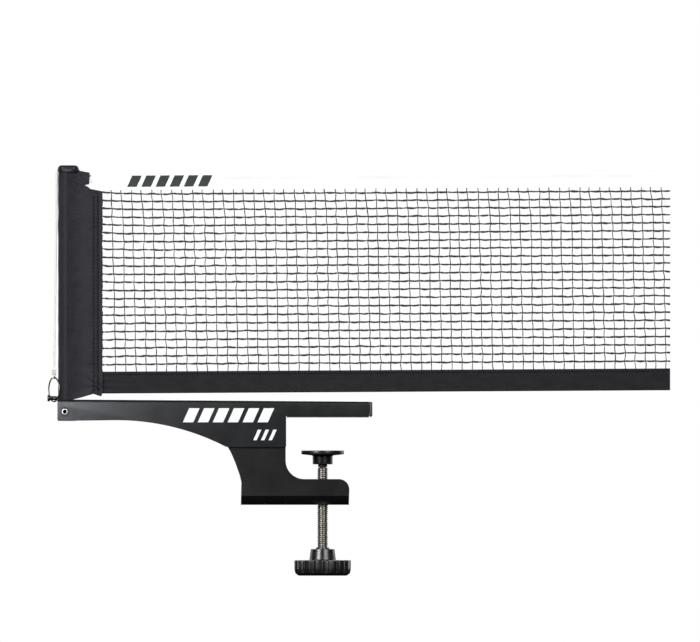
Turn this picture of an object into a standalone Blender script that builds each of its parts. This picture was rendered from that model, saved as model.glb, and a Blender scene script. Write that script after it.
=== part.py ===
"""Table tennis net clamp with its post and the end of its net.

Units are metres, +Z is up. The origin lies on the clamp screw's axis, in the plane of the table's
top: the screw turns about Z, the arm runs along X towards -X, and the net hangs in the plane Y = 0.
"""

import math

import bmesh
import bpy
from mathutils import Matrix, Vector

# Clearance that is kept between pieces that touch.
GAP = 0.0003

# The arm: a sheet-steel channel, open below, with the table jaw at its +X end. Its top rises from
# the jaw to the post.
SHEET = 0.0015
ARM_WIDTH = 0.0250
ARM_TOP = 0.0099
ARM_END_TOP = 0.0113
ARM_BEND = 0.0020
ARM_END_X = -0.1658
ARM_JAW_X = 0.0293
ARM_DEEP_Z = -0.0184
ARM_TIP_Z = -0.0022
TABLE_EDGE_X = -0.0228
JAW_FLANGE_Z = 0.0010

# The underside's long arc, level where it starts near the post.
ARC_START_X = -0.1290
ARC_START_Z = -0.0017
ARC_RADIUS = 0.1495

# The lower bracket: a channel, open above, nested in the arm.
BRACKET_WIDTH = ARM_WIDTH - 2 * SHEET - 2 * GAP
BRACKET_FOOT = -0.0546
BRACKET_BEND = 0.0056
BRACKET_LIP_Z = -0.0385
BRACKET_TOP_Z = 0.0060

# The clamp screw, a quarter-inch thread of 20 turns to the inch.
THREAD_RADIUS = 0.0030
NECK_RADIUS = 0.0020
NECK_Z = -0.0312
SCREW_TIP_Z = -0.0236
HEX_HEAD_FLATS = 0.0111
HEX_HEAD_Z = (-0.0966, -0.0926)
NUT_SIDE = 0.0100
NUT_HEIGHT = 0.0055

# The pressure pad and its bush.
PAD_RADIUS = 0.0133
PAD_TOP = -0.0206
PAD_HUB_RADIUS = 0.0063
PAD_HUB_Z = -0.0293
BUSH_RADIUS = 0.0029
BUSH_Z = (-0.0309, -0.0252)

# The hand knob: a lobed wheel below a tapered hub.
KNOB_LOBES = 14
KNOB_RADIUS = 0.01765
KNOB_GROOVE = 0.0011
KNOB_Z = (-0.0989, -0.0892)
KNOB_HUB_Z = -0.0822
KNOB_COLLAR_Z = -0.0813
CAP_RADIUS = 0.0085

# The post, its socket in the arm and its cap.
POST_X = -0.1612
POST_RADIUS = 0.0033
POST_BORE = 0.0023
POST_Z = (-0.0020, 0.1526)
SOCKET_X = (-0.1655, -0.1545)
SOCKET_Z = (-0.0022, 0.0093)
SET_SCREW_Z = 0.0037
SET_SCREW_RADIUS = 0.0020
SET_SCREW_HOLE = 0.0023
POST_CAP_X = (-0.1652, -0.1528)
POST_CAP_Z = (0.1531, 0.1577)
POST_CAP_DEPTH = 0.0086

# The cord, the ring that it is tied to and the stud that holds the ring.
CORD_RADIUS = 0.0006
CORD_BORE = 0.0009
CORD_CAP_Z = 0.1551
STUD_Z = 0.0121
RING_CENTRE = (-0.16785, 0.0, 0.0175)
RING_HALF_WIDTH = (0.0033, 0.0046)
RING_HALF_HEIGHT = 0.00755
RING_WIRE = 0.00045

# The sleeve of cloth round the post: two layers that meet the net.
CLOTH = 0.00045
SLEEVE_INSIDE = POST_RADIUS + GAP
SLEEVE_HOLLOW = 0.0010
SLEEVE_EDGE_X = -0.1375

# The net, which climbs a little away from the post.
NET_START_X = -0.1400
NET_END_X = 0.2172
NET_SLOPE = 0.0058
SLOPE_START_X = -0.1272
TAPE_START_X = -0.1453
TAPE_Z = (0.1422, 0.1524)
TAPE_HALF = 0.0006
TAPE_TUBE_RADIUS = 0.00120
HEM_START_X = -0.1410
HEM_Z = (0.0150, 0.0287)
MESH_HALF = 0.0003


# ---------------------------------------------------------------- materials


def finish(name, colour, roughness, metallic=0.0):
    """A Principled material with a linear colour."""
    material = bpy.data.materials.new(name)
    material.use_nodes = True
    shader = material.node_tree.nodes["Principled BSDF"]
    shader.inputs["Base Color"].default_value = (*colour, 1.0)
    shader.inputs["Roughness"].default_value = roughness
    shader.inputs["Metallic"].default_value = metallic
    return material


def make_finishes():
    """One material for each kind of surface."""
    return {
        "paint": finish("charcoal powder coat", (0.028, 0.029, 0.031), 0.45),
        "plastic": finish("black moulded plastic", (0.010, 0.010, 0.011), 0.35),
        "rubber": finish("dark rubber", (0.020, 0.020, 0.020), 0.80),
        "zinc": finish("bright zinc plate", (0.62, 0.61, 0.58), 0.28, 1.0),
        "wire": finish("dark nickel wire", (0.10, 0.10, 0.09), 0.30, 1.0),
        "post": finish("black painted tube", (0.015, 0.015, 0.015), 0.40),
        "cloth": finish("navy-black woven cloth", (0.021, 0.021, 0.028), 0.85),
        "tape": finish("white woven tape", (0.85, 0.85, 0.84), 0.80),
        "mesh": finish("dark green net", (0.030, 0.036, 0.032), 0.80),
        "cord": finish("white braided cord", (0.80, 0.80, 0.77), 0.75),
    }


# ------------------------------------------------------------- mesh helpers


def on_axis(axis, u, v, w):
    """The point (u, v) of an outline, at w along the axis that the outline is swept on."""
    return {"X": (w, u, v), "Y": (u, w, v), "Z": (u, v, w)}[axis]


def arc(centre, radius, start, end, steps):
    """Points on an arc, from start to end degrees, both ends included."""
    points = []
    for step in range(steps + 1):
        angle = math.radians(start + (end - start) * step / steps)
        points.append((centre[0] + radius * math.cos(angle), centre[1] + radius * math.sin(angle)))
    return points


def rounded(corners, steps=8):
    """An outline whose corners (u, v, radius) are replaced by arcs tangent to both sides."""
    outline = []
    for index, (u, v, radius) in enumerate(corners):
        here = Vector((u, v))
        if not radius:
            outline.append((u, v))
            continue
        before = Vector(corners[index - 1][:2]) - here
        after = Vector(corners[(index + 1) % len(corners)][:2]) - here
        before.normalize()
        after.normalize()
        half = before.angle(after) / 2
        centre = here + (before + after).normalized() * radius / math.sin(half)
        start = here + before * radius / math.tan(half) - centre
        end = here + after * radius / math.tan(half) - centre
        first = math.degrees(math.atan2(start.y, start.x))
        sweep = (math.degrees(math.atan2(end.y, end.x)) - first + 180) % 360 - 180
        outline += arc(centre, radius, first, first + sweep, steps)
    return outline


def prism(outline, low, high, axis):
    """A solid made by sweeping a closed outline from low to high along an axis."""
    bm = bmesh.new()
    base = bm.faces.new([bm.verts.new(on_axis(axis, u, v, low)) for u, v in outline])
    grown = bmesh.ops.extrude_face_region(bm, geom=[base])
    lifted = [item for item in grown["geom"] if isinstance(item, bmesh.types.BMVert)]
    bmesh.ops.translate(bm, verts=lifted, vec=Vector(on_axis(axis, 0, 0, high - low)))
    bmesh.ops.recalc_face_normals(bm, faces=bm.faces)
    return bm


def block(x, y, z):
    """A box from its lowest and highest coordinate on each axis."""
    outline = [(x[0], z[0]), (x[1], z[0]), (x[1], z[1]), (x[0], z[1])]
    return prism(outline, y[0], y[1], "Y")


def round_edges(bm, chosen, width, segments):
    """Bevels the edges for which chosen(edge) holds."""
    edges = [edge for edge in bm.edges if chosen(edge)]
    bmesh.ops.bevel(bm, geom=edges, offset=width, segments=segments, profile=0.5, affect="EDGES")
    return bm


def lathe(profile, steps, closed=False):
    """A turned solid: (radius, height) points, swept round Z; closed profiles make rings."""
    bm = bmesh.new()
    verts = [bm.verts.new((radius, 0.0, height)) for radius, height in profile]
    pairs = list(zip(verts, verts[1:]))
    if closed:
        pairs.append((verts[-1], verts[0]))
    edges = [bm.edges.new(pair) for pair in pairs]
    bmesh.ops.spin(
        bm, geom=verts + edges, cent=(0, 0, 0), axis=(0, 0, 1), angle=math.tau, steps=steps,
        use_merge=True,
    )
    bmesh.ops.remove_doubles(bm, verts=bm.verts, dist=1e-6)
    bmesh.ops.recalc_face_normals(bm, faces=bm.faces)
    return bm


def rod(radius, low, high, steps=32):
    """A plain cylinder on Z."""
    return lathe([(0, low), (radius, low), (radius, high), (0, high)], steps)


def turned(bm, angle, axis):
    """Turns a mesh about an axis through the origin, by degrees."""
    bmesh.ops.rotate(bm, verts=bm.verts, matrix=Matrix.Rotation(math.radians(angle), 3, axis))
    return bm


def moved(bm, shift):
    """Moves a mesh."""
    bmesh.ops.translate(bm, verts=bm.verts, vec=Vector(shift))
    return bm


def sloped(bm):
    """Tilts a piece of the net, so that it climbs away from the post."""
    for vert in bm.verts:
        vert.co.z += NET_SLOPE * (vert.co.x - SLOPE_START_X)
    return bm


def hexagon(flats):
    """The corners of a regular hexagon, from its width across flats."""
    return arc((0, 0), flats / math.sqrt(3), 0, 300, 5)


# ----------------------------------------------------------- object helpers


def empty(name, location):
    """A named point that moving pieces hang on."""
    point = bpy.data.objects.new(name, None)
    point.location = location
    bpy.context.collection.objects.link(point)
    return point


def place(name, bm, material, parent=None):
    """Makes an object from a mesh in world coordinates, with its origin at its parent's."""
    if parent:
        moved(bm, -parent.location)
    mesh = bpy.data.meshes.new(name)
    bm.to_mesh(mesh)
    bm.free()
    mesh.materials.append(material)
    mesh.shade_smooth()
    mesh.set_sharp_from_angle(angle=math.radians(35))
    made = bpy.data.objects.new(name, mesh)
    made.parent = parent
    bpy.context.collection.objects.link(made)
    return made


def combine(target, bm, operation="DIFFERENCE"):
    """Cuts a mesh from an object, or joins or intersects it, by a live Boolean."""
    tool = place(f"{target.name}_tool_{len(target.modifiers)}", bm, target.active_material, target.parent)
    tool.hide_render = True
    tool.display_type = "WIRE"
    boolean = target.modifiers.new(operation.title(), "BOOLEAN")
    boolean.operation = operation
    boolean.object = tool
    return target


# --------------------------------------------------------------- the frame


def make_arm(paint):
    """Arm channel: side outline swept across the arm, bent top edges, hollow from below."""
    foot_x = ARC_START_X + math.sqrt(ARC_RADIUS**2 - (ARC_RADIUS - ARC_START_Z + ARM_DEEP_Z) ** 2)
    arc_centre = (ARC_START_X, ARC_START_Z - ARC_RADIUS)
    arc_end = math.degrees(math.acos((foot_x - ARC_START_X) / ARC_RADIUS))
    corners = [
        (ARM_END_X, ARM_END_TOP, 0),
        (ARM_END_X, ARM_TIP_Z, 0.0012),
        *((x, z, 0) for x, z in arc(arc_centre, ARC_RADIUS, 90, arc_end + 0.6, 24)),
        (foot_x, ARM_DEEP_Z, 0.0022),
        (TABLE_EDGE_X, ARM_DEEP_Z, 0.0003),
        (TABLE_EDGE_X, JAW_FLANGE_Z, 0.0005),
        (ARM_JAW_X, JAW_FLANGE_Z, 0),
        (ARM_JAW_X, ARM_TOP, 0),
        (TABLE_EDGE_X, ARM_TOP, 0),
    ]
    half = ARM_WIDTH / 2
    bm = prism(rounded(corners), -half, half, "Y")
    round_edges(bm, lambda edge: all(vert.co.z > ARM_TOP - 1e-6 and abs(vert.co.y) > half - 1e-6
                                     for vert in edge.verts)
                and abs(edge.verts[0].co.y - edge.verts[1].co.y) < 1e-6, ARM_BEND, 6)
    arm = place("arm_channel", bm, paint)
    inner = half - SHEET
    rise = (ARM_END_TOP - ARM_TOP) / (TABLE_EDGE_X - ARM_END_X)
    section = [(ARM_END_X - 0.01, -0.03), (ARM_JAW_X + 0.01, -0.03), (ARM_JAW_X + 0.01, ARM_TOP - SHEET),
               (TABLE_EDGE_X, ARM_TOP - SHEET), (ARM_END_X - 0.01, ARM_END_TOP - SHEET + 0.01 * rise)]
    hollow = prism(section, -inner, inner, "Y")
    round_edges(hollow, lambda edge: all(vert.co.z > 0 for vert in edge.verts)
                and abs(edge.verts[0].co.y - edge.verts[1].co.y) < 1e-6, ARM_BEND - SHEET, 3)
    combine(arm, hollow)
    combine(arm, block((ARM_END_X - 0.01, SOCKET_X[1] + GAP), (-inner, inner), (0, 0.03)))
    hole = moved(turned(rod(SET_SCREW_HOLE, -0.004, 0.004), 90, "X"), (POST_X, -half, SET_SCREW_Z))
    return combine(arm, hole)


def make_bracket(paint):
    """Lower bracket: a deep channel with a wide bend along both edges of its web."""
    corners = [
        (-0.0560, BRACKET_TOP_Z, 0),
        (-0.0595, -0.0182, 0),
        (-0.0577, -0.0212, 0),
        (-0.0560, -0.0249, 0),
        (-0.0544, -0.0288, 0),
        (-0.0531, -0.0325, 0),
        (-0.0518, -0.0362, 0),
        (-0.0508, -0.0404, 0.0040),
        (-0.0511, BRACKET_FOOT, 0),
        (0.0164, BRACKET_FOOT, 0),
        (0.0169, BRACKET_LIP_Z, 0.0065),
        (-0.0231, BRACKET_LIP_Z, 0.0115),
        (-0.0231, BRACKET_TOP_Z, 0),
    ]
    half = BRACKET_WIDTH / 2
    bm = prism(rounded(corners, 12), -half, half, "Y")
    round_edges(bm, lambda edge: all(vert.co.z < BRACKET_FOOT + 1e-6 for vert in edge.verts)
                and abs(edge.verts[0].co.y - edge.verts[1].co.y) < 1e-6, BRACKET_BEND, 8)
    bracket = place("lower_bracket", bm, paint)
    inner = half - SHEET
    hollow = block((-0.08, 0.04), (-inner, inner), (BRACKET_FOOT + SHEET, 0.02))
    round_edges(hollow, lambda edge: all(vert.co.z < 0 for vert in edge.verts)
                and abs(edge.verts[0].co.y - edge.verts[1].co.y) < 1e-6, BRACKET_BEND - SHEET, 8)
    combine(bracket, hollow)
    return combine(bracket, rod(THREAD_RADIUS + 0.0006, BRACKET_FOOT - 0.005, BRACKET_FOOT + 0.005))


def make_jaw_fittings(plastic, rubber):
    """The liner under the jaw, keyed between its flanges, and the cap that closes its end."""
    half = ARM_WIDTH / 2 - 0.0002
    key = ARM_WIDTH / 2 - SHEET - GAP
    skin = JAW_FLANGE_Z - GAP
    section = [(-half, 0), (half, 0), (half, skin), (key, skin), (key, 0.0025), (-key, 0.0025),
               (-key, skin), (-half, skin)]
    place("jaw_liner", prism(section, TABLE_EDGE_X + GAP, ARM_JAW_X - GAP, "X"), rubber)
    outer = rounded([(-ARM_WIDTH / 2, 0.0003, 0.0012), (ARM_WIDTH / 2, 0.0003, 0.0012),
                     (ARM_WIDTH / 2, ARM_TOP, 0.0022), (-ARM_WIDTH / 2, ARM_TOP, 0.0022)], 6)
    face = prism(outer, ARM_JAW_X + GAP, ARM_JAW_X + 0.0016, "X")
    round_edges(face, lambda edge: all(vert.co.x > ARM_JAW_X + 0.0015 for vert in edge.verts),
                0.0009, 3)
    cap = place("jaw_end_cap", face, plastic)
    plug = block((ARM_JAW_X - 0.0045, ARM_JAW_X + 0.0008), (-key, key),
                 (0.0028, ARM_TOP - SHEET - 2 * GAP))
    round_edges(plug, lambda edge: all(vert.co.z > 0.004 for vert in edge.verts)
                and abs(edge.verts[0].co.y - edge.verts[1].co.y) < 1e-6, 0.0005, 2)
    combine(cap, plug, "UNION")


# --------------------------------------------------------- screw, pad, knob


def make_nut(zinc):
    """Square weld nut on the bracket's web."""
    half = NUT_SIDE / 2
    low = BRACKET_FOOT + SHEET + GAP
    bm = block((-half, half), (-half, half), (low, low + NUT_HEIGHT))
    round_edges(bm, lambda edge: all(vert.co.z > low + NUT_HEIGHT - 1e-6 for vert in edge.verts),
                0.0006, 1)
    nut = place("screw_nut", bm, zinc)
    return combine(nut, rod(THREAD_RADIUS + GAP, low - 0.002, low + NUT_HEIGHT + 0.002))


def make_spindle(zinc, parent):
    """Clamp screw: a snap-in tip, a neck, the threaded length and a hexagonal head."""
    profile = [
        (0, SCREW_TIP_Z),
        (0.0022, SCREW_TIP_Z),
        (0.0027, SCREW_TIP_Z - 0.0006),
        (0.0027, BUSH_Z[1] + GAP),
        (NECK_RADIUS, BUSH_Z[1] + GAP),
        (NECK_RADIUS, NECK_Z),
        (THREAD_RADIUS - 0.0006, NECK_Z),
        (THREAD_RADIUS, NECK_Z - 0.0006),
        (THREAD_RADIUS, HEX_HEAD_Z[1] - 0.001),
        (0, HEX_HEAD_Z[1] - 0.001),
    ]
    spindle = place("clamp_spindle", lathe(profile, 32), zinc, parent)
    return combine(spindle, prism(hexagon(HEX_HEAD_FLATS), *HEX_HEAD_Z, "Z"), "UNION")


def lobed(radius, groove, angle):
    """The knob's radius: wide flat lobes parted by narrow rounded grooves."""
    return radius - groove * (0.5 - 0.5 * math.cos(KNOB_LOBES * angle)) ** 3


def make_knob(plastic, parent):
    """Knob: lobed rings up the wheel's side, a flat top, then a tapered hub and a collar."""
    low, top = KNOB_Z
    rings = [
        (KNOB_RADIUS - 0.0030, low, 0),
        (KNOB_RADIUS - 0.0017, low + 0.0007, 0.5),
        (KNOB_RADIUS - 0.0006, low + 0.0016, 0.9),
        (KNOB_RADIUS, low + 0.0030, 1),
        (KNOB_RADIUS, top - 0.0007, 1),
        (KNOB_RADIUS - 0.0004, top - 0.0002, 1),
        (0.0087, top, 0),
        (0.0081, top + 0.0006, 0),
        (0.0075, KNOB_HUB_Z - 0.0007, 0),
        (0.0070, KNOB_HUB_Z, 0),
        (0.0043, KNOB_HUB_Z, 0),
        (0.0042, KNOB_COLLAR_Z, 0),
    ]
    steps = KNOB_LOBES * 6
    bm = bmesh.new()
    rows = []
    for radius, height, share in rings:
        row = []
        for step in range(steps):
            angle = math.tau * step / steps
            reach = lobed(radius, KNOB_GROOVE * share, angle)
            row.append(bm.verts.new((reach * math.cos(angle), reach * math.sin(angle), height)))
        rows.append(row)
    for lower, upper in zip(rows, rows[1:]):
        for step in range(steps):
            after = (step + 1) % steps
            bm.faces.new((lower[step], lower[after], upper[after], upper[step]))
    bm.faces.new(list(reversed(rows[0])))
    bm.faces.new(rows[-1])
    knob = place("knob", bm, plastic, parent)
    bore = THREAD_RADIUS + GAP
    combine(knob, rod(bore, low - 0.001, KNOB_COLLAR_Z + 0.001))
    pocket = prism(hexagon(HEX_HEAD_FLATS + 2 * GAP), low - 0.001, HEX_HEAD_Z[1] + GAP, "Z")
    combine(knob, pocket)
    combine(knob, rod(CAP_RADIUS + GAP, low - 0.001, HEX_HEAD_Z[0] - GAP, 48))
    cap = [(0, low), (CAP_RADIUS - 0.0005, low), (CAP_RADIUS, low + 0.0005),
           (CAP_RADIUS, HEX_HEAD_Z[0] - 2 * GAP), (0, HEX_HEAD_Z[0] - 2 * GAP)]
    place("knob_cap", lathe(cap, 48), plastic, parent)


def make_pad(plastic, parent):
    """Pressure pad with a socket in its hub, and the bush that keeps the screw's tip in it."""
    socket = BUSH_RADIUS + GAP
    ceiling = SCREW_TIP_Z + GAP
    profile = [
        (0, ceiling),
        (socket, ceiling),
        (socket, PAD_HUB_Z),
        (PAD_HUB_RADIUS - 0.0005, PAD_HUB_Z),
        (PAD_HUB_RADIUS, PAD_HUB_Z + 0.0005),
        (PAD_HUB_RADIUS, PAD_TOP - 0.0037),
        (PAD_HUB_RADIUS + 0.0006, PAD_TOP - 0.0031),
        (PAD_RADIUS - 0.0007, PAD_TOP - 0.0025),
        (PAD_RADIUS, PAD_TOP - 0.0019),
        (PAD_RADIUS, PAD_TOP - 0.0005),
        (PAD_RADIUS - 0.0005, PAD_TOP),
        (0, PAD_TOP),
    ]
    place("pressure_pad", lathe(profile, 64), plastic, parent)
    bore = NECK_RADIUS + GAP
    ring = [(bore, BUSH_Z[0]), (BUSH_RADIUS, BUSH_Z[0]), (BUSH_RADIUS, BUSH_Z[1]), (bore, BUSH_Z[1])]
    place("pad_bush", lathe(ring, 32, closed=True), plastic, parent)


# ------------------------------------------------------ post and its fittings


def make_socket(plastic):
    """Block between the arm's flanges with the post's bore and the set screw's hole."""
    half = ARM_WIDTH / 2 - SHEET - GAP
    bm = block(SOCKET_X, (-half, half), SOCKET_Z)
    round_edges(bm, lambda edge: all(vert.co.z > SOCKET_Z[1] - 1e-6 for vert in edge.verts), 0.0004, 2)
    socket = place("post_socket", bm, plastic)
    bore = moved(rod(POST_RADIUS + GAP, -0.02, 0.02, 40), (POST_X, 0, 0))
    combine(socket, bore)
    hole = moved(turned(rod(SET_SCREW_HOLE, 0.002, half + 0.005), 90, "X"), (POST_X, 0, SET_SCREW_Z))
    return combine(socket, hole)


def make_set_screw(zinc, parent):
    """Set screw that points at the post, with a hexagonal socket at the front."""
    tip = -(POST_RADIUS + GAP)
    front = -(ARM_WIDTH / 2 + 0.0004)
    radius = SET_SCREW_RADIUS
    profile = [(0, front), (radius - 0.0004, front), (radius, front + 0.0004), (radius, tip - 0.0010),
               (radius - 0.0008, tip), (0, tip)]
    body = moved(turned(lathe(profile, 28), -90, "X"), (POST_X, 0, SET_SCREW_Z))
    screw = place("post_set_screw", body, zinc, parent)
    key = moved(turned(prism(hexagon(0.0020), -0.0015, 0.0022, "Z"), -90, "X"),
                (POST_X, front, SET_SCREW_Z))
    return combine(screw, key)


def make_post(paint, plastic, parent):
    """Post tube with the stud's hole, and the stud: shank, spool and flange along X."""
    ring = [(POST_BORE, POST_Z[0]), (POST_RADIUS, POST_Z[0]), (POST_RADIUS, POST_Z[1]),
            (POST_BORE, POST_Z[1])]
    post = place("post_tube", moved(lathe(ring, 40, closed=True), (POST_X, 0, 0)), paint, parent)
    hole = moved(turned(rod(0.0015, -0.0050, -0.0010, 24), 90, "Y"), (POST_X, 0, STUD_Z))
    combine(post, hole)
    stud = [(0, 0.0015), (0.0012, 0.0015), (0.0012, 0.0050), (0.0014, 0.0052), (0.0014, 0.0092),
            (0.0018, 0.0094), (0.0021, 0.0098), (0.0021, 0.0104), (0.0017, 0.0108), (0, 0.0108)]
    turned_stud = moved(turned(lathe(stud, 28), -90, "Y"), (POST_X, 0, STUD_Z))
    place("cord_stud", turned_stud, plastic, parent)


def make_post_cap(plastic, parent):
    """Cap: a soft block that reaches over the net's side, a spigot in the tube, the cord's way."""
    half = POST_CAP_DEPTH / 2
    plan = rounded([(POST_CAP_X[0], -half, 0.0030), (POST_CAP_X[1], -half, 0.0030),
                    (POST_CAP_X[1], half, 0.0030), (POST_CAP_X[0], half, 0.0030)], 6)
    bm = prism(plan, *POST_CAP_Z, "Z")
    round_edges(bm, lambda edge: all(vert.co.z > POST_CAP_Z[1] - 1e-6 for vert in edge.verts), 0.0014, 4)
    cap = place("post_cap", bm, plastic, parent)
    spigot = moved(rod(POST_BORE - GAP, 0.1420, POST_CAP_Z[0] + 0.0005, 32), (POST_X, 0, 0))
    combine(cap, spigot, "UNION")
    way = moved(turned(rod(CORD_BORE, -0.02, 0.02, 20), 90, "Y"), (POST_X, 0, CORD_CAP_Z))
    return combine(cap, way)


def make_ring(wire, parent):
    """Oval ring of wire, turned so that its near side passes in front of the stud."""
    bm = bmesh.new()
    along, around = 40, 10
    facing = Vector((RING_HALF_WIDTH[0], -RING_HALF_WIDTH[1], 0))
    rows = []
    for step in range(along):
        angle = math.tau * step / along
        centre = facing * math.cos(angle) + Vector((0, 0, RING_HALF_HEIGHT * math.sin(angle)))
        ahead = facing * -math.sin(angle) + Vector((0, 0, RING_HALF_HEIGHT * math.cos(angle)))
        aside = facing.cross(Vector((0, 0, 1))).normalized()
        outward = aside.cross(ahead.normalized())
        row = []
        for turn in range(around):
            spoke = math.tau * turn / around
            offset = (outward * math.cos(spoke) + aside * math.sin(spoke)) * RING_WIRE
            row.append(bm.verts.new(Vector(RING_CENTRE) + centre + offset))
        rows.append(row)
    for step in range(along):
        row, after = rows[step], rows[(step + 1) % along]
        for turn in range(around):
            bm.faces.new((row[turn], row[turn - 1], after[turn - 1], after[turn]))
    bmesh.ops.recalc_face_normals(bm, faces=bm.faces)
    return place("cord_ring", bm, wire, parent)


# ---------------------------------------------------------------- the net


def net_height(x, height):
    """The height of a line of the net at x, where the net climbs away from the post."""
    return height + NET_SLOPE * (x - SLOPE_START_X)


def make_cord(material, parent):
    """Tension cord: up from the ring, over through the cap, down into the tape and along it."""
    ring_top = RING_CENTRE[2] + RING_HALF_HEIGHT + RING_WIRE + GAP
    tube_z = TAPE_Z[1] - TAPE_TUBE_RADIUS
    route = [
        (RING_CENTRE[0], ring_top),
        (-0.16760, 0.0450),
        (-0.16715, 0.0750),
        (-0.16675, 0.1050),
        (-0.16640, 0.1300),
        (-0.16625, 0.1450),
        (-0.16622, 0.1505),
        (-0.16625, 0.1532),
        (-0.16570, 0.1547),
        (-0.16490, CORD_CAP_Z),
        (-0.15800, CORD_CAP_Z),
        (-0.15300, CORD_CAP_Z),
        (-0.15130, 0.1544),
        (-0.14960, 0.1529),
        (-0.14780, net_height(-0.1478, tube_z) + 0.0002),
        (TAPE_START_X, net_height(TAPE_START_X, tube_z)),
        (-0.1200, net_height(-0.1200, tube_z)),
        (0.0, net_height(0.0, tube_z)),
        (0.1000, net_height(0.1000, tube_z)),
        (NET_END_X - 0.0005, net_height(NET_END_X - 0.0005, tube_z)),
    ]
    points = smooth_route([Vector((x, 0, z)) for x, z in route])
    curve = bpy.data.curves.new("tension_cord", "CURVE")
    curve.dimensions = "3D"
    curve.bevel_depth = CORD_RADIUS
    curve.bevel_resolution = 2
    curve.use_fill_caps = True
    spline = curve.splines.new("POLY")
    spline.points.add(len(points) - 1)
    for point, place_at in zip(spline.points, points):
        point.co = (*(place_at - parent.location), 1.0)
    curve.materials.append(material)
    cord = bpy.data.objects.new("tension_cord", curve)
    cord.parent = parent
    bpy.context.collection.objects.link(cord)
    return cord


def smooth_route(route):
    """Points read from a smooth curve through the route: four on a short span, fewer on a long."""
    padded = [route[0] * 2 - route[1], *route, route[-1] * 2 - route[-2]]
    points = []
    for before, start, end, after in zip(padded, padded[1:], padded[2:], padded[3:]):
        span = (end - start).length
        lead_in = (end - before) * span / ((end - start).length + (start - before).length)
        lead_out = (after - start) * span / ((after - end).length + (end - start).length)
        pieces = 4 if span < 0.012 else 6
        for step in range(pieces):
            t = step / pieces
            points.append(
                start * (2 * t**3 - 3 * t**2 + 1) + lead_in * (t**3 - 2 * t**2 + t)
                + end * (3 * t**2 - 2 * t**3) + lead_out * (t**3 - t**2)
            )
    return [*points, route[-1]]


def sleeve_loop(radius, half):
    """Half of the sleeve's plan: from the net's side round the post and back, one cloth face."""
    reach = 0.0090
    distance = math.hypot(reach, half)
    touch = math.degrees(math.atan2(half, reach) + math.acos(radius / distance))
    edge = SLEEVE_EDGE_X + 0.005
    return [(edge, half), (POST_X + reach, half),
            *arc((POST_X, 0), radius, touch, 360 - touch, 36),
            (POST_X + reach, -half), (edge, -half)]


def make_sleeve(cloth, parent):
    """Sleeve: two layers of cloth joined round the post, trimmed to the sleeve's side outline."""
    outer = sleeve_loop(SLEEVE_INSIDE + CLOTH, SLEEVE_HOLLOW + CLOTH)
    inner = sleeve_loop(SLEEVE_INSIDE, SLEEVE_HOLLOW)
    low, high = 0.0102, 0.1530
    sleeve = place("side_sleeve", prism([*outer, *reversed(inner)], low - 0.002, high + 0.002, "Z"),
                   cloth, parent)
    outline = rounded([
        (-0.1670, low, 0),
        (-0.1590, low + 0.0002, 0),
        (-0.1434, 0.0147, 0),
        (SLEEVE_EDGE_X, 0.0162, 0.0008),
        (SLEEVE_EDGE_X, 0.1412, 0.0006),
        (-0.1455, 0.1427, 0.0006),
        (-0.1460, 0.1437, 0),
        (-0.1482, 0.1440, 0.0003),
        (-0.1482, 0.1447, 0.0003),
        (-0.1458, 0.1449, 0.0006),
        (-0.1458, 0.1520, 0.0006),
        (-0.1520, high, 0),
        (-0.1670, high, 0),
    ], 4)
    combine(sleeve, prism(outline, -0.01, 0.01, "Y"), "INTERSECT")
    slot = block((-0.1700, -0.1640), (-0.0020, 0.0020), (low - 0.005, STUD_Z + 0.0020))
    return combine(sleeve, slot)


def make_net(finishes, parent):
    """Top tape with the cord's tube along its top, the mesh as a thin slab, and the hem."""
    tube_z = TAPE_Z[1] - TAPE_TUBE_RADIUS
    shoulder = math.degrees(math.acos(TAPE_HALF / TAPE_TUBE_RADIUS))
    section = [(-TAPE_HALF, TAPE_Z[0]), (TAPE_HALF, TAPE_Z[0]),
               *arc((0, tube_z), TAPE_TUBE_RADIUS, -shoulder, 180 + shoulder, 24)]
    tape = place("top_tape", sloped(prism(section, TAPE_START_X + GAP, NET_END_X, "X")),
                 finishes["tape"], parent)
    bore = moved(turned(rod(CORD_BORE, TAPE_START_X - 0.005, NET_END_X + 0.005, 20), 90, "Y"),
                 (0, 0, tube_z))
    combine(tape, sloped(bore))
    mesh = block((NET_START_X, NET_END_X), (-MESH_HALF, MESH_HALF), (HEM_Z[1] + GAP, TAPE_Z[0] - GAP))
    place("net_mesh", sloped(mesh), finishes["mesh"], parent)
    hem = block((HEM_START_X, NET_END_X), (-TAPE_HALF, TAPE_HALF), HEM_Z)
    round_edges(hem, lambda edge: abs(edge.verts[0].co.x - edge.verts[1].co.x) > 0.1, 0.0004, 2)
    place("bottom_hem", sloped(hem), finishes["cloth"], parent)


def main():
    """Clears the scene and makes the clamp, the post and the net's end."""
    for old in list(bpy.data.objects):
        bpy.data.objects.remove(old, do_unlink=True)
    finishes = make_finishes()
    make_arm(finishes["paint"])
    make_bracket(finishes["paint"])
    make_jaw_fittings(finishes["plastic"], finishes["rubber"])
    make_nut(finishes["zinc"])
    make_socket(finishes["plastic"])

    screw_axis = empty("screw_axis", (0, 0, 0))
    make_spindle(finishes["zinc"], screw_axis)
    make_knob(finishes["plastic"], screw_axis)
    pad_travel = empty("pad_travel", (0, 0, PAD_TOP))
    make_pad(finishes["plastic"], pad_travel)
    set_screw_axis = empty("set_screw_axis", (POST_X, 0, SET_SCREW_Z))
    make_set_screw(finishes["zinc"], set_screw_axis)

    post_axis = empty("post_axis", (POST_X, 0, 0))
    make_post(finishes["post"], finishes["plastic"], post_axis)
    make_post_cap(finishes["plastic"], post_axis)
    make_ring(finishes["wire"], post_axis)
    make_cord(finishes["cord"], post_axis)
    make_sleeve(finishes["cloth"], post_axis)
    make_net(finishes, post_axis)


main()
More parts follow.
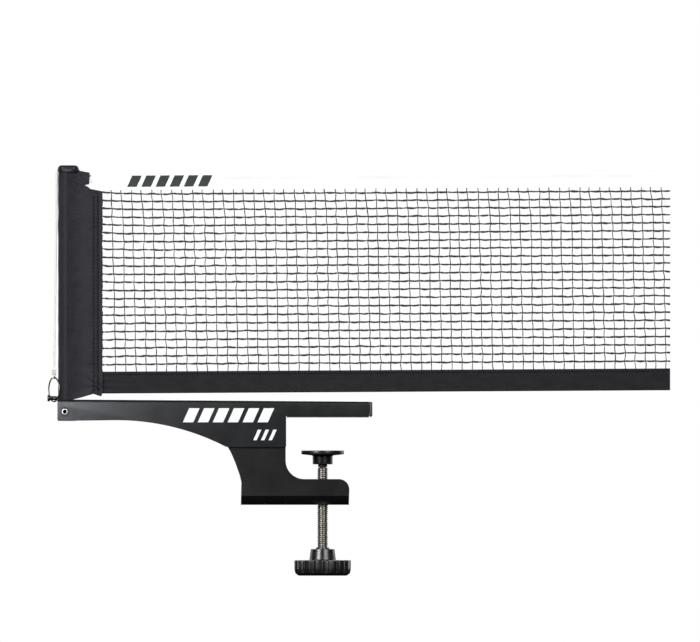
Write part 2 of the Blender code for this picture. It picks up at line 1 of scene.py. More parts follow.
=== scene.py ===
"""Looks of a table tennis net clamp: the screw clamp, its post and the end of its net.

Every length is in metres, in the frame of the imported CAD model: the origin lies on the clamp
screw's axis in the plane of the table's top, X runs along the net, and -Y is the net's front.
"""

import logging
import math
from collections.abc import Callable
from dataclasses import dataclass
from enum import Enum

import bmesh
import bpy
import numpy as np
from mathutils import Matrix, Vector


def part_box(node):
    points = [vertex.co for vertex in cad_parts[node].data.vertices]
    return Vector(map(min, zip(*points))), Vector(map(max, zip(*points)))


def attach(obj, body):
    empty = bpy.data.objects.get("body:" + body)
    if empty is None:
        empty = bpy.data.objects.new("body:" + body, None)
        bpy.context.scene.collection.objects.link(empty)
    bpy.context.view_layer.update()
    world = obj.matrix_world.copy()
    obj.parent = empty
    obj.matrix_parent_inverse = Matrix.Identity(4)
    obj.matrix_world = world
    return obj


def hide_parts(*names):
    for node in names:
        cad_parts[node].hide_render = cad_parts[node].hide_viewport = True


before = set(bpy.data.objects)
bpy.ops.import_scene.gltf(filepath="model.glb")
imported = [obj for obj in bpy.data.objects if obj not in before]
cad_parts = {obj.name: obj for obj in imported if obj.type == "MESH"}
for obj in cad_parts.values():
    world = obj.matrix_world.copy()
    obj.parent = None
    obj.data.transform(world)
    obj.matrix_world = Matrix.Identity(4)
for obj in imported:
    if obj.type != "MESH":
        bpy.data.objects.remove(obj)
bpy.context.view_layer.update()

LOG = logging.getLogger("net_clamp")

MM = 0.001
WELD = 1e-6
TURN = 2 * math.pi
SEED = 7

# Where the net hangs: it climbs a little away from the post.
NET_SLOPE = 0.0058
SLOPE_START_X = -0.1272
NET_END_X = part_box("net_mesh")[1].x
POST_X = -0.1612
SET_SCREW_Z = 0.0037
# The two rows of stitches that hold the sleeve's sides together.
SLEEVE_SEAMS = (-0.1431, -0.1404)
# The ring at the cord's lower end: where it hangs, and the level line in its plane.
RING_X = -0.16785
RING_FACING = (0.0033, -0.0046, 0.0)
RING_WIRE = 0.45 * MM


def off_flat(angle: np.ndarray) -> np.ndarray:
    """Angle from the middle of the nearest flat of a hexagon, between -30 and 30 degrees."""
    return (angle + TURN / 12) % (TURN / 6) - TURN / 12


def net_height(x: np.ndarray | float, height: np.ndarray | float) -> np.ndarray | float:
    """Height at x of a line of the net: its height at the post plus the slope times the distance."""
    return height + NET_SLOPE * (x - SLOPE_START_X)


# ------------------------------------------------------------------ surfaces


@dataclass
class Patch:
    """A grid of points on a surface.

    Attributes:
        points: positions, rows by columns by 3.
        uv: pattern coordinates in metres along the surface, rows by columns by 2.
    """

    points: np.ndarray
    uv: np.ndarray | None = None


class Facing(Enum):
    """Where the axis of a turned piece points, as the images of its own X, Y and Z."""

    UP = ((1, 0, 0), (0, 1, 0), (0, 0, 1))
    RIGHT = ((0, 1, 0), (0, 0, 1), (1, 0, 0))
    LEFT = ((0, 1, 0), (0, 0, -1), (-1, 0, 0))
    FRONT = ((1, 0, 0), (0, 0, 1), (0, -1, 0))


def aimed(patch: Patch, facing: Facing, at: tuple[float, float, float]) -> Patch:
    """Turns a patch so that its Z faces another way, then moves its origin to a point."""
    return Patch(patch.points @ np.array(facing.value, float) + np.array(at), patch.uv)


def laid_out(points: np.ndarray) -> np.ndarray:
    """Pattern coordinates of a grid: mean distances summed along its columns and its rows."""
    across = np.linalg.norm(np.diff(points, axis=1), axis=2).mean(0)
    down = np.linalg.norm(np.diff(points, axis=0), axis=2).mean(1)
    u, v = (np.concatenate([[0.0], np.cumsum(steps)]) for steps in (across, down))
    return np.stack(np.meshgrid(u, v), -1)


def fillet(corners: list[tuple[float, float, float]], steps: int = 6) -> np.ndarray:
    """Open outline whose inner corners are replaced by arcs that touch both sides.

    Args:
        corners: (u, v, radius) of each corner; the radius is 0 where the corner stays sharp.
        steps: spans of each arc.

    Returns:
        The outline's points, n by 2.
    """
    outline = []
    for index, (u, v, radius) in enumerate(corners):
        here = np.array([u, v])
        if not radius or index in (0, len(corners) - 1):
            outline.append(here[None])
            continue
        before = np.array(corners[index - 1][:2]) - here
        after = np.array(corners[index + 1][:2]) - here
        before, after = before / np.linalg.norm(before), after / np.linalg.norm(after)
        half = math.acos(np.clip(before @ after, -1, 1)) / 2
        middle = before + after
        centre = here + middle / np.linalg.norm(middle) * radius / math.sin(half)
        start, end = (here + side * radius / math.tan(half) - centre for side in (before, after))
        first = math.atan2(start[1], start[0])
        sweep = (math.atan2(end[1], end[0]) - first + math.pi) % TURN - math.pi
        angles = first + sweep * np.linspace(0, 1, steps + 1)
        outline.append(centre + radius * np.stack([np.cos(angles), np.sin(angles)], -1))
    return np.concatenate(outline)


def lathe(profile: np.ndarray, steps: int = 64,
          reach: Callable[[np.ndarray, np.ndarray, np.ndarray], np.ndarray] | None = None) -> Patch:
    """Turned surface: the point (r cos a, r sin a, h) for each profile point and each angle.

    Args:
        profile: (radius, height) points, n by 2; a radius of 0 closes a pole.
        steps: spans round the axis.
        reach: turns (radius, height, angle) into the radius there, for lobes and hexagons.

    Returns:
        The surface, one row for each profile point.
    """
    angle = np.linspace(0, TURN, steps + 1)[None, :]
    radius, height = profile[:, :1], profile[:, 1:]
    turned = reach(radius, height, angle) if reach else radius + 0 * angle
    points = np.stack([turned * np.cos(angle), turned * np.sin(angle), height + 0 * angle], -1)
    along = np.concatenate([[0.0], np.cumsum(np.linalg.norm(np.diff(profile, axis=0), axis=1))])
    uv = np.stack([angle * profile[:, 0].max() + 0 * height, along[:, None] + 0 * angle], -1)
    return Patch(points, uv)


def tube(path: np.ndarray, radius: np.ndarray | float, sides: int = 10,
         square: tuple[float, float, float] = (0, 1, 0), closed: bool = False) -> Patch:
    """Round tube: p + r (cos a side + sin a lift), where side and lift are square to the path.

    Args:
        path: centre line, n by 3; a closed path ends where it starts.
        radius: the tube's radius, or one for each point.
        sides: spans round the tube.
        square: a direction that the path never runs along.
        closed: whether the path is a loop, which needs no end caps.

    Returns:
        The tube, one row for each path point, and with a pole at each open end.
    """
    ahead = np.gradient(path, axis=0)
    if closed:
        ahead[[0, -1]] = path[1] - path[-2]
    side = np.cross(ahead, square)
    side /= np.linalg.norm(side, axis=1, keepdims=True)
    lift = np.cross(side, ahead)
    lift /= np.linalg.norm(lift, axis=1, keepdims=True)
    radius = np.broadcast_to(radius, len(path)).astype(float)
    if not closed:
        path, side, lift = (np.concatenate([a[:1], a, a[-1:]]) for a in (path, side, lift))
        radius = np.concatenate([[0.0], radius, [0.0]])
    angle = np.linspace(0, TURN, sides + 1)[None, :, None]
    points = path[:, None] + radius[:, None, None] * (
        np.cos(angle) * side[:, None] + np.sin(angle) * lift[:, None])
    along = np.concatenate([[0.0], np.cumsum(np.linalg.norm(np.diff(path, axis=0), axis=1))])
    around = angle[:, :, 0] * radius.max()
    return Patch(points, np.stack([along[:, None] + 0 * around, around + 0 * along[:, None]], -1))


def two_faced(front: np.ndarray, back: np.ndarray) -> list[Patch]:
    """A sheet from the grids of its two faces, with its four borders closed by narrow strips."""
    uv = laid_out(front)
    borders = [(front[0], back[0]), (front[-1], back[-1]),
               (front[:, 0], back[:, 0]), (front[:, -1], back[:, -1])]
    return [Patch(front, uv), Patch(back, uv), *(Patch(np.stack(pair)) for pair in borders)]


def smooth_route(route: np.ndarray, pieces: int) -> np.ndarray:
    """Points on the smooth curve through a route: a cubic on each span, with shared slopes."""
    route = np.concatenate([[2 * route[0] - route[1]], route, [2 * route[-1] - route[-2]]])
    before, start, end, after = route[:-3], route[1:-2], route[2:-1], route[3:]
    span, back, ahead = (np.linalg.norm(b - a, axis=1, keepdims=True)
                         for a, b in ((start, end), (before, start), (end, after)))
    lead_in = ((end - before) * span / (span + back))[:, None]
    lead_out = ((after - start) * span / (ahead + span))[:, None]
    t = np.linspace(0, 1, pieces, endpoint=False)[None, :, None]
    curve = (start[:, None] * (2 * t**3 - 3 * t**2 + 1) + lead_in * (t**3 - 2 * t**2 + t)
             + end[:, None] * (3 * t**2 - 2 * t**3) + lead_out * (t**3 - t**2))
    return np.concatenate([curve.reshape(-1, 3), route[-2:-1]])


def waves(along: np.ndarray, up: np.ndarray, sizes: tuple[float, float], seed: int,
          count: int = 12) -> np.ndarray:
    """Gentle uneven ground: a sum of sines of mixed directions, about 1 high.

    Args:
        along: first coordinate of each point.
        up: second coordinate of each point.
        sizes: mean wavelength along each coordinate.
        seed: seed of the mix.
        count: number of sines.

    Returns:
        The height at each point.
    """
    mix = np.random.default_rng(seed)
    total = 0 * along + 0 * up
    for rate_u, rate_v, phase in zip(mix.normal(0, 1, count), mix.normal(0, 1, count),
                                     mix.uniform(0, TURN, count)):
        total = total + np.sin(TURN * (rate_u * along / sizes[0] + rate_v * up / sizes[1]) + phase)
    return total / math.sqrt(count / 2)


def finish_mesh(made: bpy.types.Object, body: str, sharp: float,
                stands_for: tuple[str, ...]) -> bpy.types.Object:
    """Shades a piece, hangs it on its body and hides the CAD nodes that it stands for."""
    made.data.shade_smooth()
    made.data.set_sharp_from_angle(angle=math.radians(sharp))
    bpy.context.scene.collection.objects.link(made)
    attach(made, body)
    if stands_for:
        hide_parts(*stands_for)
    LOG.info("%s: %d faces on %s", made.name, len(made.data.polygons), body)
    return made


def build(name: str, patches: list[Patch], material: bpy.types.Material, body: str,
          stands_for: tuple[str, ...] = (), sharp: float = 35.0) -> bpy.types.Object:
    """Makes one piece from patches, with shared points welded and faces turned outwards.

    Args:
        name: the piece's name.
        patches: grids that make up the piece.
        material: its finish.
        body: CAD body that it rides on.
        stands_for: CAD nodes that it stands for.
        sharp: angle in degrees from which an edge is shaded sharp.

    Returns:
        The finished object.
    """
    points, faces, uvs, start = [], [], [], 0
    for patch in patches:
        rows, columns = patch.points.shape[:2]
        index = start + np.arange(rows * columns).reshape(rows, columns)
        faces.append(np.stack([index[:-1, :-1], index[:-1, 1:], index[1:, 1:], index[1:, :-1]],
                              -1).reshape(-1, 4))
        points.append(patch.points.reshape(-1, 3))
        uv = patch.uv if patch.uv is not None else patch.points[..., ::2]
        uvs.append(uv.reshape(-1, 2))
        start += rows * columns
    corners = np.concatenate(faces)
    mesh = bpy.data.meshes.new(name)
    mesh.from_pydata(np.concatenate(points).tolist(), [], corners.tolist())
    layer = mesh.uv_layers.new(name="pattern")
    layer.data.foreach_set("uv", np.concatenate(uvs)[corners.ravel()].astype(np.float32).ravel())
    bm = bmesh.new()
    bm.from_mesh(mesh)
    bmesh.ops.remove_doubles(bm, verts=bm.verts, dist=WELD)
    bmesh.ops.recalc_face_normals(bm, faces=bm.faces)
    bm.to_mesh(mesh)
    bm.free()
    mesh.materials.append(material)
    return finish_mesh(bpy.data.objects.new(name, mesh), body, sharp, stands_for)


def refined(node: str, name: str, material: bpy.types.Material, body: str,
            bevel: float, reshape: Callable[[np.ndarray], np.ndarray] | None = None,
            ) -> bpy.types.Object:
    """A merged copy of a CAD node with its cut edges rounded.

    Args:
        node: CAD node that is copied and then stands hidden.
        name: the piece's name.
        material: its finish.
        body: CAD body that it rides on.
        bevel: width of the rounded edges.
        reshape: moves the copy's points, n by 3, before its edges are rounded.

    Returns:
        The finished object.
    """
    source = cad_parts[node].data.copy()
    if "custom_normal" in source.attributes:
        source.attributes.remove(source.attributes["custom_normal"])
    bm = bmesh.new()
    bm.from_mesh(source)
    bpy.data.meshes.remove(source)
    bmesh.ops.remove_doubles(bm, verts=bm.verts, dist=WELD)
    bmesh.ops.dissolve_limit(bm, angle_limit=math.radians(1), verts=bm.verts, edges=bm.edges)
    mesh = bpy.data.meshes.new(name)
    bm.to_mesh(mesh)
    bm.free()
    if reshape:
        points = np.zeros(len(mesh.vertices) * 3)
        mesh.vertices.foreach_get("co", points)
        mesh.vertices.foreach_set("co", reshape(points.reshape(-1, 3)).ravel())
        mesh.update()
    mesh.materials.clear()
    mesh.materials.append(material)
    made = finish_mesh(bpy.data.objects.new(name, mesh), body, 35.0, (node,))
    rounding = made.modifiers.new("rounded edges", "BEVEL")
    rounding.width = bevel
    rounding.segments = 2
    rounding.limit_method = "ANGLE"
    rounding.angle_limit = math.radians(35)
    rounding.harden_normals = True
    return made


# ------------------------------------------------------------------ materials


def srgb(code: str) -> tuple[float, float, float, float]:
    """Linear colour of an sRGB hex value such as "#2B2C2E"."""
    parts = (int(code[at:at + 2], 16) / 255 for at in (1, 3, 5))
    return (*(c / 12.92 if c <= 0.04045 else ((c + 0.055) / 1.055) ** 2.4 for c in parts), 1.0)


def add(tree: bpy.types.NodeTree, kind: str, inputs: dict | None = None,
        **settings: object) -> bpy.types.Node:
    """Adds one shader node.

    Args:
        tree: node tree that takes it.
        kind: the node's type without its "ShaderNode" prefix.
        inputs: socket name or number, to a value or to the output that feeds it.
        settings: attributes of the node itself, such as its operation.

    Returns:
        The node.
    """
    made = tree.nodes.new("ShaderNode" + kind)
    for name, value in settings.items():
        setattr(made, name, value)
    for socket, value in (inputs or {}).items():
        if isinstance(value, bpy.types.NodeSocket):
            tree.links.new(value, made.inputs[socket])
        else:
            made.inputs[socket].default_value = value
    return made


@dataclass
class Canvas:
    """A material's node tree with the steps that the finishes share."""

    name: str
    constants: dict

    def __post_init__(self) -> None:
        """Makes the material, its shader and its texture coordinates."""
        self.material = bpy.data.materials.new(self.name)
        self.material.use_nodes = True
        self.tree = self.material.node_tree
        self.shader = self.tree.nodes["Principled BSDF"]
        for socket, value in self.constants.items():
            self.shader.inputs[socket].default_value = value
        place = add(self.tree, "TexCoord")
        self.object, self.uv = place.outputs["Object"], place.outputs["UV"]

    def math(self, operation: str, *values: float | bpy.types.NodeSocket) -> bpy.types.NodeSocket:
        """The result of a Math node on values or sockets."""
        return add(self.tree, "Math", dict(enumerate(values)), operation=operation).outputs[0]

    def noise(self, size: float, detail: float = 2.0, roughness: float = 0.5,
              on: bpy.types.NodeSocket | None = None) -> bpy.types.NodeSocket:
        """Noise whose spots are about size metres wide, from 0 to 1."""
        return add(self.tree, "TexNoise", {
            "Vector": on or self.object, "Scale": 1 / size, "Detail": detail,
            "Roughness": roughness}).outputs["Fac"]

    def parts(self, vector: bpy.types.NodeSocket) -> list[bpy.types.NodeSocket]:
        """The X, Y and Z of a vector."""
        return list(add(self.tree, "SeparateXYZ", {0: vector}).outputs)

    def spread(self, value: bpy.types.NodeSocket, low: float, high: float, to_low: float,
               to_high: float) -> bpy.types.NodeSocket:
        """Value mapped in a straight line from one range to another, and kept in it."""
        return add(self.tree, "MapRange", {"Value": value, "From Min": low, "From Max": high,
                                           "To Min": to_low, "To Max": to_high}).outputs[0]

    def blend(self, share: bpy.types.NodeSocket, first: object, second: object,
              way: str = "MIX") -> bpy.types.NodeSocket:
        """Colour between two colours or sockets, by share."""
        return add(self.tree, "Mix", {0: share, 6: first, 7: second}, data_type="RGBA",
                   blend_type=way).outputs[2]

    def wire(self, colour: bpy.types.NodeSocket | None = None,
             roughness: bpy.types.NodeSocket | None = None,
             height: bpy.types.NodeSocket | None = None, depth: float = 0.0) -> bpy.types.Material:
        """Links the patterns to the shader.

        Args:
            colour: base colour.
            roughness: roughness.
            height: relief, from 0 to 1.
            depth: the relief's real height in metres.

        Returns:
            The material.
        """
        for socket, value in (("Base Color", colour), ("Roughness", roughness)):
            if value is not None:
                self.tree.links.new(value, self.shader.inputs[socket])
        if height is not None:
            bump = add(self.tree, "Bump", {"Height": height, "Distance": depth, "Strength": 1.0})
            self.tree.links.new(bump.outputs[0], self.shader.inputs["Normal"])
        return self.material


@dataclass(frozen=True)
class SlantedBars:
    """A printed row of plain slanted bars, which stands where a maker prints a mark.

    Attributes:
        x: left and right end of the row.
        z: lower and upper edge of the bars.
        count: number of bars.
        duty: share of the pitch that a bar fills.
        lean: how far a bar's top leans over for each metre of height.
        climb: slope of the row.
    """

    x: tuple[float, float]
    z: tuple[float, float]
    count: int
    duty: float = 0.72
    lean: float = 0.45
    climb: float = 0.0

    def mask(self, canvas: Canvas) -> bpy.types.NodeSocket:
        """1 on the bars and 0 off them, on the front faces only."""
        x, y, z = canvas.parts(canvas.object)
        height = canvas.math("SUBTRACT", z, canvas.math(
            "MULTIPLY", canvas.math("SUBTRACT", x, self.x[0]), self.climb))
        sheared = canvas.math("SUBTRACT", x, canvas.math(
            "MULTIPLY", canvas.math("SUBTRACT", height, self.z[0]), self.lean))
        place = canvas.math("DIVIDE", canvas.math("SUBTRACT", sheared, self.x[0]),
                            (self.x[1] - self.x[0]) / self.count)
        tests = [canvas.math("LESS_THAN", canvas.math("FRACT", place), self.duty),
                 canvas.math("GREATER_THAN", place, 0.0),
                 canvas.math("LESS_THAN", place, float(self.count)),
                 canvas.math("GREATER_THAN", height, self.z[0]),
                 canvas.math("LESS_THAN", height, self.z[1]),
                 canvas.math("LESS_THAN", y, -0.0002)]
        mask = tests[0]
        for test in tests[1:]:
            mask = canvas.math("MULTIPLY", mask, test)
        return mask


@dataclass(frozen=True)
class PowderCoat:
    """Polyester powder coat on sheet steel: charcoal, satin, with a fine orange peel."""

    name: str = "powder_coated_steel"
    colour: str = "#121314"
    worn: str = "#1C1D1E"
    ink: str = "#F4F6F7"
    peel: float = 0.9 * MM
    roughness: tuple[float, float] = (0.30, 0.36)
    prints: tuple[SlantedBars, ...] = ()

    def material(self) -> bpy.types.Material:
        """Builds the material: slight cloudiness of colour and gloss, peel as relief, and print."""
        canvas = Canvas(self.name, {"IOR": 1.5, "Specular IOR Level": 0.42})
        cloud = canvas.noise(14 * MM, 3.0, 0.6)
        speck = canvas.noise(1.1 * MM, 1.0)
        mixed = canvas.math("MULTIPLY", canvas.math("ADD", cloud, speck), 0.5)
        share = canvas.spread(mixed, 0.35, 0.65, 0.0, 0.35)
        colour = canvas.blend(share, srgb(self.colour), srgb(self.worn))
        rough = canvas.spread(cloud, 0.3, 0.7, *self.roughness)
        for row in self.prints:
            colour = canvas.blend(row.mask(canvas), colour, srgb(self.ink))
        return canvas.wire(colour, rough, canvas.noise(self.peel, 1.5), 0.012 * MM)


@dataclass(frozen=True)
class MouldedPlastic:
    """Injection-moulded ABS: black, semi-gloss, with a fine spark-eroded grain."""

    name: str
    colour: str = "#141416"
    roughness: tuple[float, float] = (0.30, 0.42)
    grain: float = 0.8 * MM
    depth: float = 0.004 * MM
    shine: float = 0.5

    def material(self) -> bpy.types.Material:
        """Builds the material: clouds of colour and gloss, with the grain as relief."""
        canvas = Canvas(self.name, {"IOR": 1.53, "Specular IOR Level": self.shine})
        cloud = canvas.noise(6 * MM, 3.0)
        rough = canvas.spread(cloud, 0.3, 0.7, *self.roughness)
        base = srgb(self.colour)
        pale = tuple(min(1.0, part * 1.5) for part in base[:3]) + (1.0,)
        colour = canvas.blend(canvas.spread(cloud, 0.35, 0.75, 0, 1), base, pale)
        return canvas.wire(colour, rough, canvas.noise(self.grain, 2.0), self.depth)


@dataclass(frozen=True)
class PlatedSteel:
    """Bright plated steel, rolled or turned: warm white metal, greyer where grease has settled; darker in a
    thread's roots from grease and painted shade, and in a socket from painted shade.
    """

    name: str
    colour: str = "#D8D4CC"
    shade: str = "#8E8A84"
    roughness: tuple[float, float] = (0.20, 0.34)
    root: float | None = None
    pit: tuple[float, float, float] | None = None

    def material(self) -> bpy.types.Material:
        """Builds the material.

        With a root radius the metal darkens towards it, round Z: grease there and painted shade in the
        thread's roots. A pit (x, z, radius) is a socket seen along Y, painted dark: painted shade in its
        hollow.
        """
        canvas = Canvas(self.name, {"Metallic": 1.0})
        cloud = canvas.noise(2.5 * MM, 3.0)
        share = canvas.spread(cloud, 0.35, 0.75, 0.0, 0.6)
        colour = canvas.blend(share, srgb(self.colour), srgb(self.shade))
        # Grease and painted shade: the metal is darker towards the thread's roots.
        if self.root:
            flat = add(canvas.tree, "VectorMath", {0: canvas.object, 1: (1.0, 1.0, 0.0)},
                       operation="MULTIPLY").outputs[0]
            reach = add(canvas.tree, "VectorMath", {0: flat}, operation="LENGTH").outputs["Value"]
            root_grease_and_shade = canvas.spread(reach, self.root, self.root + 0.45 * MM, 0.65, 0.0)
            colour = canvas.blend(root_grease_and_shade, colour, srgb("#3A3733"))
        # Painted shade: the socket's hollow is painted near black.
        if self.pit:
            x, _, z = canvas.parts(canvas.object)
            away = [canvas.math("POWER", canvas.math("SUBTRACT", part, at), 2.0)
                    for part, at in ((x, self.pit[0]), (z, self.pit[1]))]
            reach = canvas.math("SQRT", canvas.math("ADD", *away))
            colour = canvas.blend(canvas.spread(reach, self.pit[2], self.pit[2] + 0.08 * MM, 1.0, 0.0),
                                  colour, srgb("#0C0C0C"))
        return canvas.wire(colour, canvas.spread(cloud, 0.3, 0.7, *self.roughness))


@dataclass(frozen=True)
class WovenCloth:
    """Plain-woven polyester: matt, with a soft sheen and a slight slub from thread to thread.

    The threads are drawn at the given spacing, coarse enough for the weave to show.
    """

    name: str
    colour: str
    lifted: str
    thread: float = 0.8 * MM
    relief: float = 0.10 * MM
    sheen: float = 0.25
    ink: str = "#3A403C"
    prints: tuple[SlantedBars, ...] = ()
    painted_bands: tuple[tuple[float, float, float], ...] = ()

    def material(self) -> bpy.types.Material:
        """Builds the material: two crossed waves along the cloth's own warp and weft.

        Streaks run along the weft. Upright bands (x, half width, strength) are painted paler, or darker
        where the strength is below zero; they carry painted highlight and painted shade.
        """
        canvas = Canvas(self.name, {"Roughness": 0.85, "Sheen Weight": self.sheen,
                                    "Sheen Roughness": 0.5, "Specular IOR Level": 0.2})
        u, v, _ = canvas.parts(canvas.uv)
        slub = canvas.math("MULTIPLY", canvas.noise(3 * MM, 3.0), 0.5)
        crossed = [canvas.math("SINE", canvas.math("ADD", slub, canvas.math(
            "MULTIPLY", way, TURN / self.thread))) for way in (u, v)]
        weave = canvas.math("MULTIPLY", *crossed)
        height = canvas.spread(weave, -1, 1, 0, 1)
        cloud = canvas.noise(9 * MM, 4.0, 0.65)
        streak = canvas.noise(0.9 * MM, 2.0, 0.6, add(canvas.tree, "VectorMath", {
            0: canvas.object, 1: (0.12, 1.0, 1.0)}, operation="MULTIPLY").outputs[0])
        share = canvas.math("ADD", canvas.spread(canvas.math("ADD", cloud, streak), 0.7, 1.3, 0.0, 0.55),
                            canvas.math("MULTIPLY", height, 0.25))
        x = canvas.parts(canvas.object)[0]
        # Painted highlight and painted shade in upright bands across the cloth.
        for middle, half, strength in self.painted_bands:
            away = canvas.math("ABSOLUTE", canvas.math("SUBTRACT", x, middle))
            share = canvas.math("ADD", share, canvas.spread(away, 0.0, half, strength, 0.0))
        colour = canvas.blend(share, srgb(self.colour), srgb(self.lifted))
        for row in self.prints:
            colour = canvas.blend(row.mask(canvas), colour, srgb(self.ink))
        fuzz = canvas.math("ADD", height, canvas.math("MULTIPLY", canvas.noise(0.7 * MM), 0.6))
        return canvas.wire(colour, None, fuzz, self.relief)


@dataclass(frozen=True)
class TwistedThread:
    """Twisted or braided yarn: matt, with strands that wind along it.

    The strands are drawn at the given pitch, coarse enough for them to show.
    """

    name: str
    colour: str
    lifted: str
    pitch: float
    girth: float
    braided: bool = False
    sheen: float = 0.15

    def material(self) -> bpy.types.Material:
        """Builds the material: strands as waves on the slant, crossed where it is braided."""
        canvas = Canvas(self.name, {"Roughness": 0.8, "Sheen Weight": self.sheen,
                                    "Specular IOR Level": 0.25})
        along, around, _ = canvas.parts(canvas.uv)
        a = canvas.math("MULTIPLY", along, TURN / self.pitch)
        b = canvas.math("MULTIPLY", around, TURN * 3 / self.girth)
        strand = canvas.math("SINE", canvas.math("ADD", a, b))
        if self.braided:
            strand = canvas.math("MULTIPLY", strand, canvas.math(
                "SINE", canvas.math("SUBTRACT", a, b)))
        height = canvas.spread(strand, -1, 1, 0, 1)
        cloud = canvas.noise(5 * MM, 3.0)
        share = canvas.math("MULTIPLY", canvas.math("ADD", height, cloud), 0.5)
        colour = canvas.blend(share, srgb(self.colour), srgb(self.lifted))
        return canvas.wire(colour, None, height, 0.08 * MM)


@dataclass(frozen=True)
class RibbedRubber:
    """Moulded rubber: dark grey and matt, with fine ribs across its length and dusty highs."""

    name: str = "moulded_rubber"
    colour: str = "#262626"
    dust: str = "#3C3B39"
    rib: float = 1.5 * MM

    def material(self) -> bpy.types.Material:
        """Builds the material: ribs as a wave along X."""
        canvas = Canvas(self.name, {"Roughness": 0.8, "IOR": 1.52})
        x = canvas.parts(canvas.object)[0]
        wave = canvas.spread(canvas.math("SINE", canvas.math("MULTIPLY", x, TURN / self.rib)),
                             -1, 1, 0, 1)
        share = canvas.math("MULTIPLY", canvas.noise(4 * MM, 4.0), 0.8)
        return canvas.wire(canvas.blend(share, srgb(self.colour), srgb(self.dust)), None, wave,
                           0.10 * MM)


ARM_PRINT = (SlantedBars(x=(-0.0874, -0.0314), z=(-0.0030, 0.0058), count=6, duty=0.70),
             SlantedBars(x=(-0.0434, -0.0290), z=(-0.0142, -0.0076), count=3, duty=0.45))
# Upright bands painted on the sleeve's cloth: a painted highlight down the tube's front, paler bands over
# the folded layers beside the seams, and painted shade along the two sunk seams.
SLEEVE_PAINTED_BANDS = ((-0.1609, 0.0012, 1.6), (-0.1475, 0.0085, 0.65), (-0.1384, 0.0020, 1.0),
                 *((seam, 0.0006, -0.35) for seam in SLEEVE_SEAMS))
TAPE_PRINT = (SlantedBars(x=(-0.1222, -0.0692), z=(0.1441, 0.1512), count=6, duty=0.68,
                          climb=NET_SLOPE),)


@dataclass
class Finishes:
    """The materials of the whole object, each made once."""

    def __post_init__(self) -> None:
        """Makes each material from its finish."""
        self.arm = PowderCoat("powder_coated_arm", prints=ARM_PRINT).material()
        self.bracket = PowderCoat("powder_coated_bracket", colour="#131313",
                                  worn="#1C1C1C").material()
        self.tube = PowderCoat("painted_tube", colour="#121212", worn="#1C1C1C").material()
        self.plastic = MouldedPlastic("moulded_black_plastic", roughness=(0.24, 0.34)).material()
        self.matt = MouldedPlastic("matt_black_plastic", colour="#101011",
                                   roughness=(0.45, 0.6)).material()
        self.cap = MouldedPlastic("soft_black_plastic", colour="#18181A", roughness=(0.34, 0.44),
                                  grain=1.8 * MM, depth=0.10 * MM, shine=0.22).material()
        self.end_cap = MouldedPlastic("grey_black_end_cap", colour="#303032",
                                      roughness=(0.40, 0.50)).material()
        self.rubber = RibbedRubber().material()
        # The screw's thread roots are darkened: grease there and painted shade.
        self.screw = PlatedSteel("plated_screw_steel", colour="#B6B2AA", shade="#7C7872",
                                 roughness=(0.30, 0.38), root=2.75 * MM).material()
        self.zinc = PlatedSteel("zinc_plated_steel", roughness=(0.34, 0.44)).material()
        # The set screw's socket is painted dark: painted shade in its hollow.
        self.set_screw = PlatedSteel("zinc_plated_set_screw", roughness=(0.30, 0.40),
                                     pit=(POST_X, SET_SCREW_Z, 1.28 * MM)).material()
        self.wire = PlatedSteel("dark_nickel_wire", colour="#6B6860", shade="#3C3A35",
                                roughness=(0.22, 0.35)).material()
        # The sleeve carries a painted highlight down the tube's front and painted shade along its seams.
        self.sleeve = WovenCloth("navy_black_sleeve_cloth", "#101015", "#28282F",
                                 painted_bands=SLEEVE_PAINTED_BANDS).material()
        self.hem = WovenCloth("black_hem_tape", "#151518", "#26262A", sheen=0.12).material()
        self.tape = WovenCloth("white_woven_tape", "#F1F2F2", "#FBFBFB", relief=0.06 * MM,
                               sheen=0.05, prints=TAPE_PRINT).material()
        self.net = TwistedThread("dark_green_net_thread", "#1E2420", "#3A423D", pitch=1.6 * MM,
                                 girth=3.2 * MM).material()
        self.seam = TwistedThread("black_sewing_thread", "#020203", "#08080A", pitch=0.8 * MM,
                                  girth=1.6 * MM, sheen=0.0).material()
        self.cord = TwistedThread("white_braided_cord", "#E4E3DF", "#FAFAF8", pitch=1.8 * MM,
                                  girth=3.8 * MM, braided=True).material()


# ----------------------------------------------------------------- the clamp


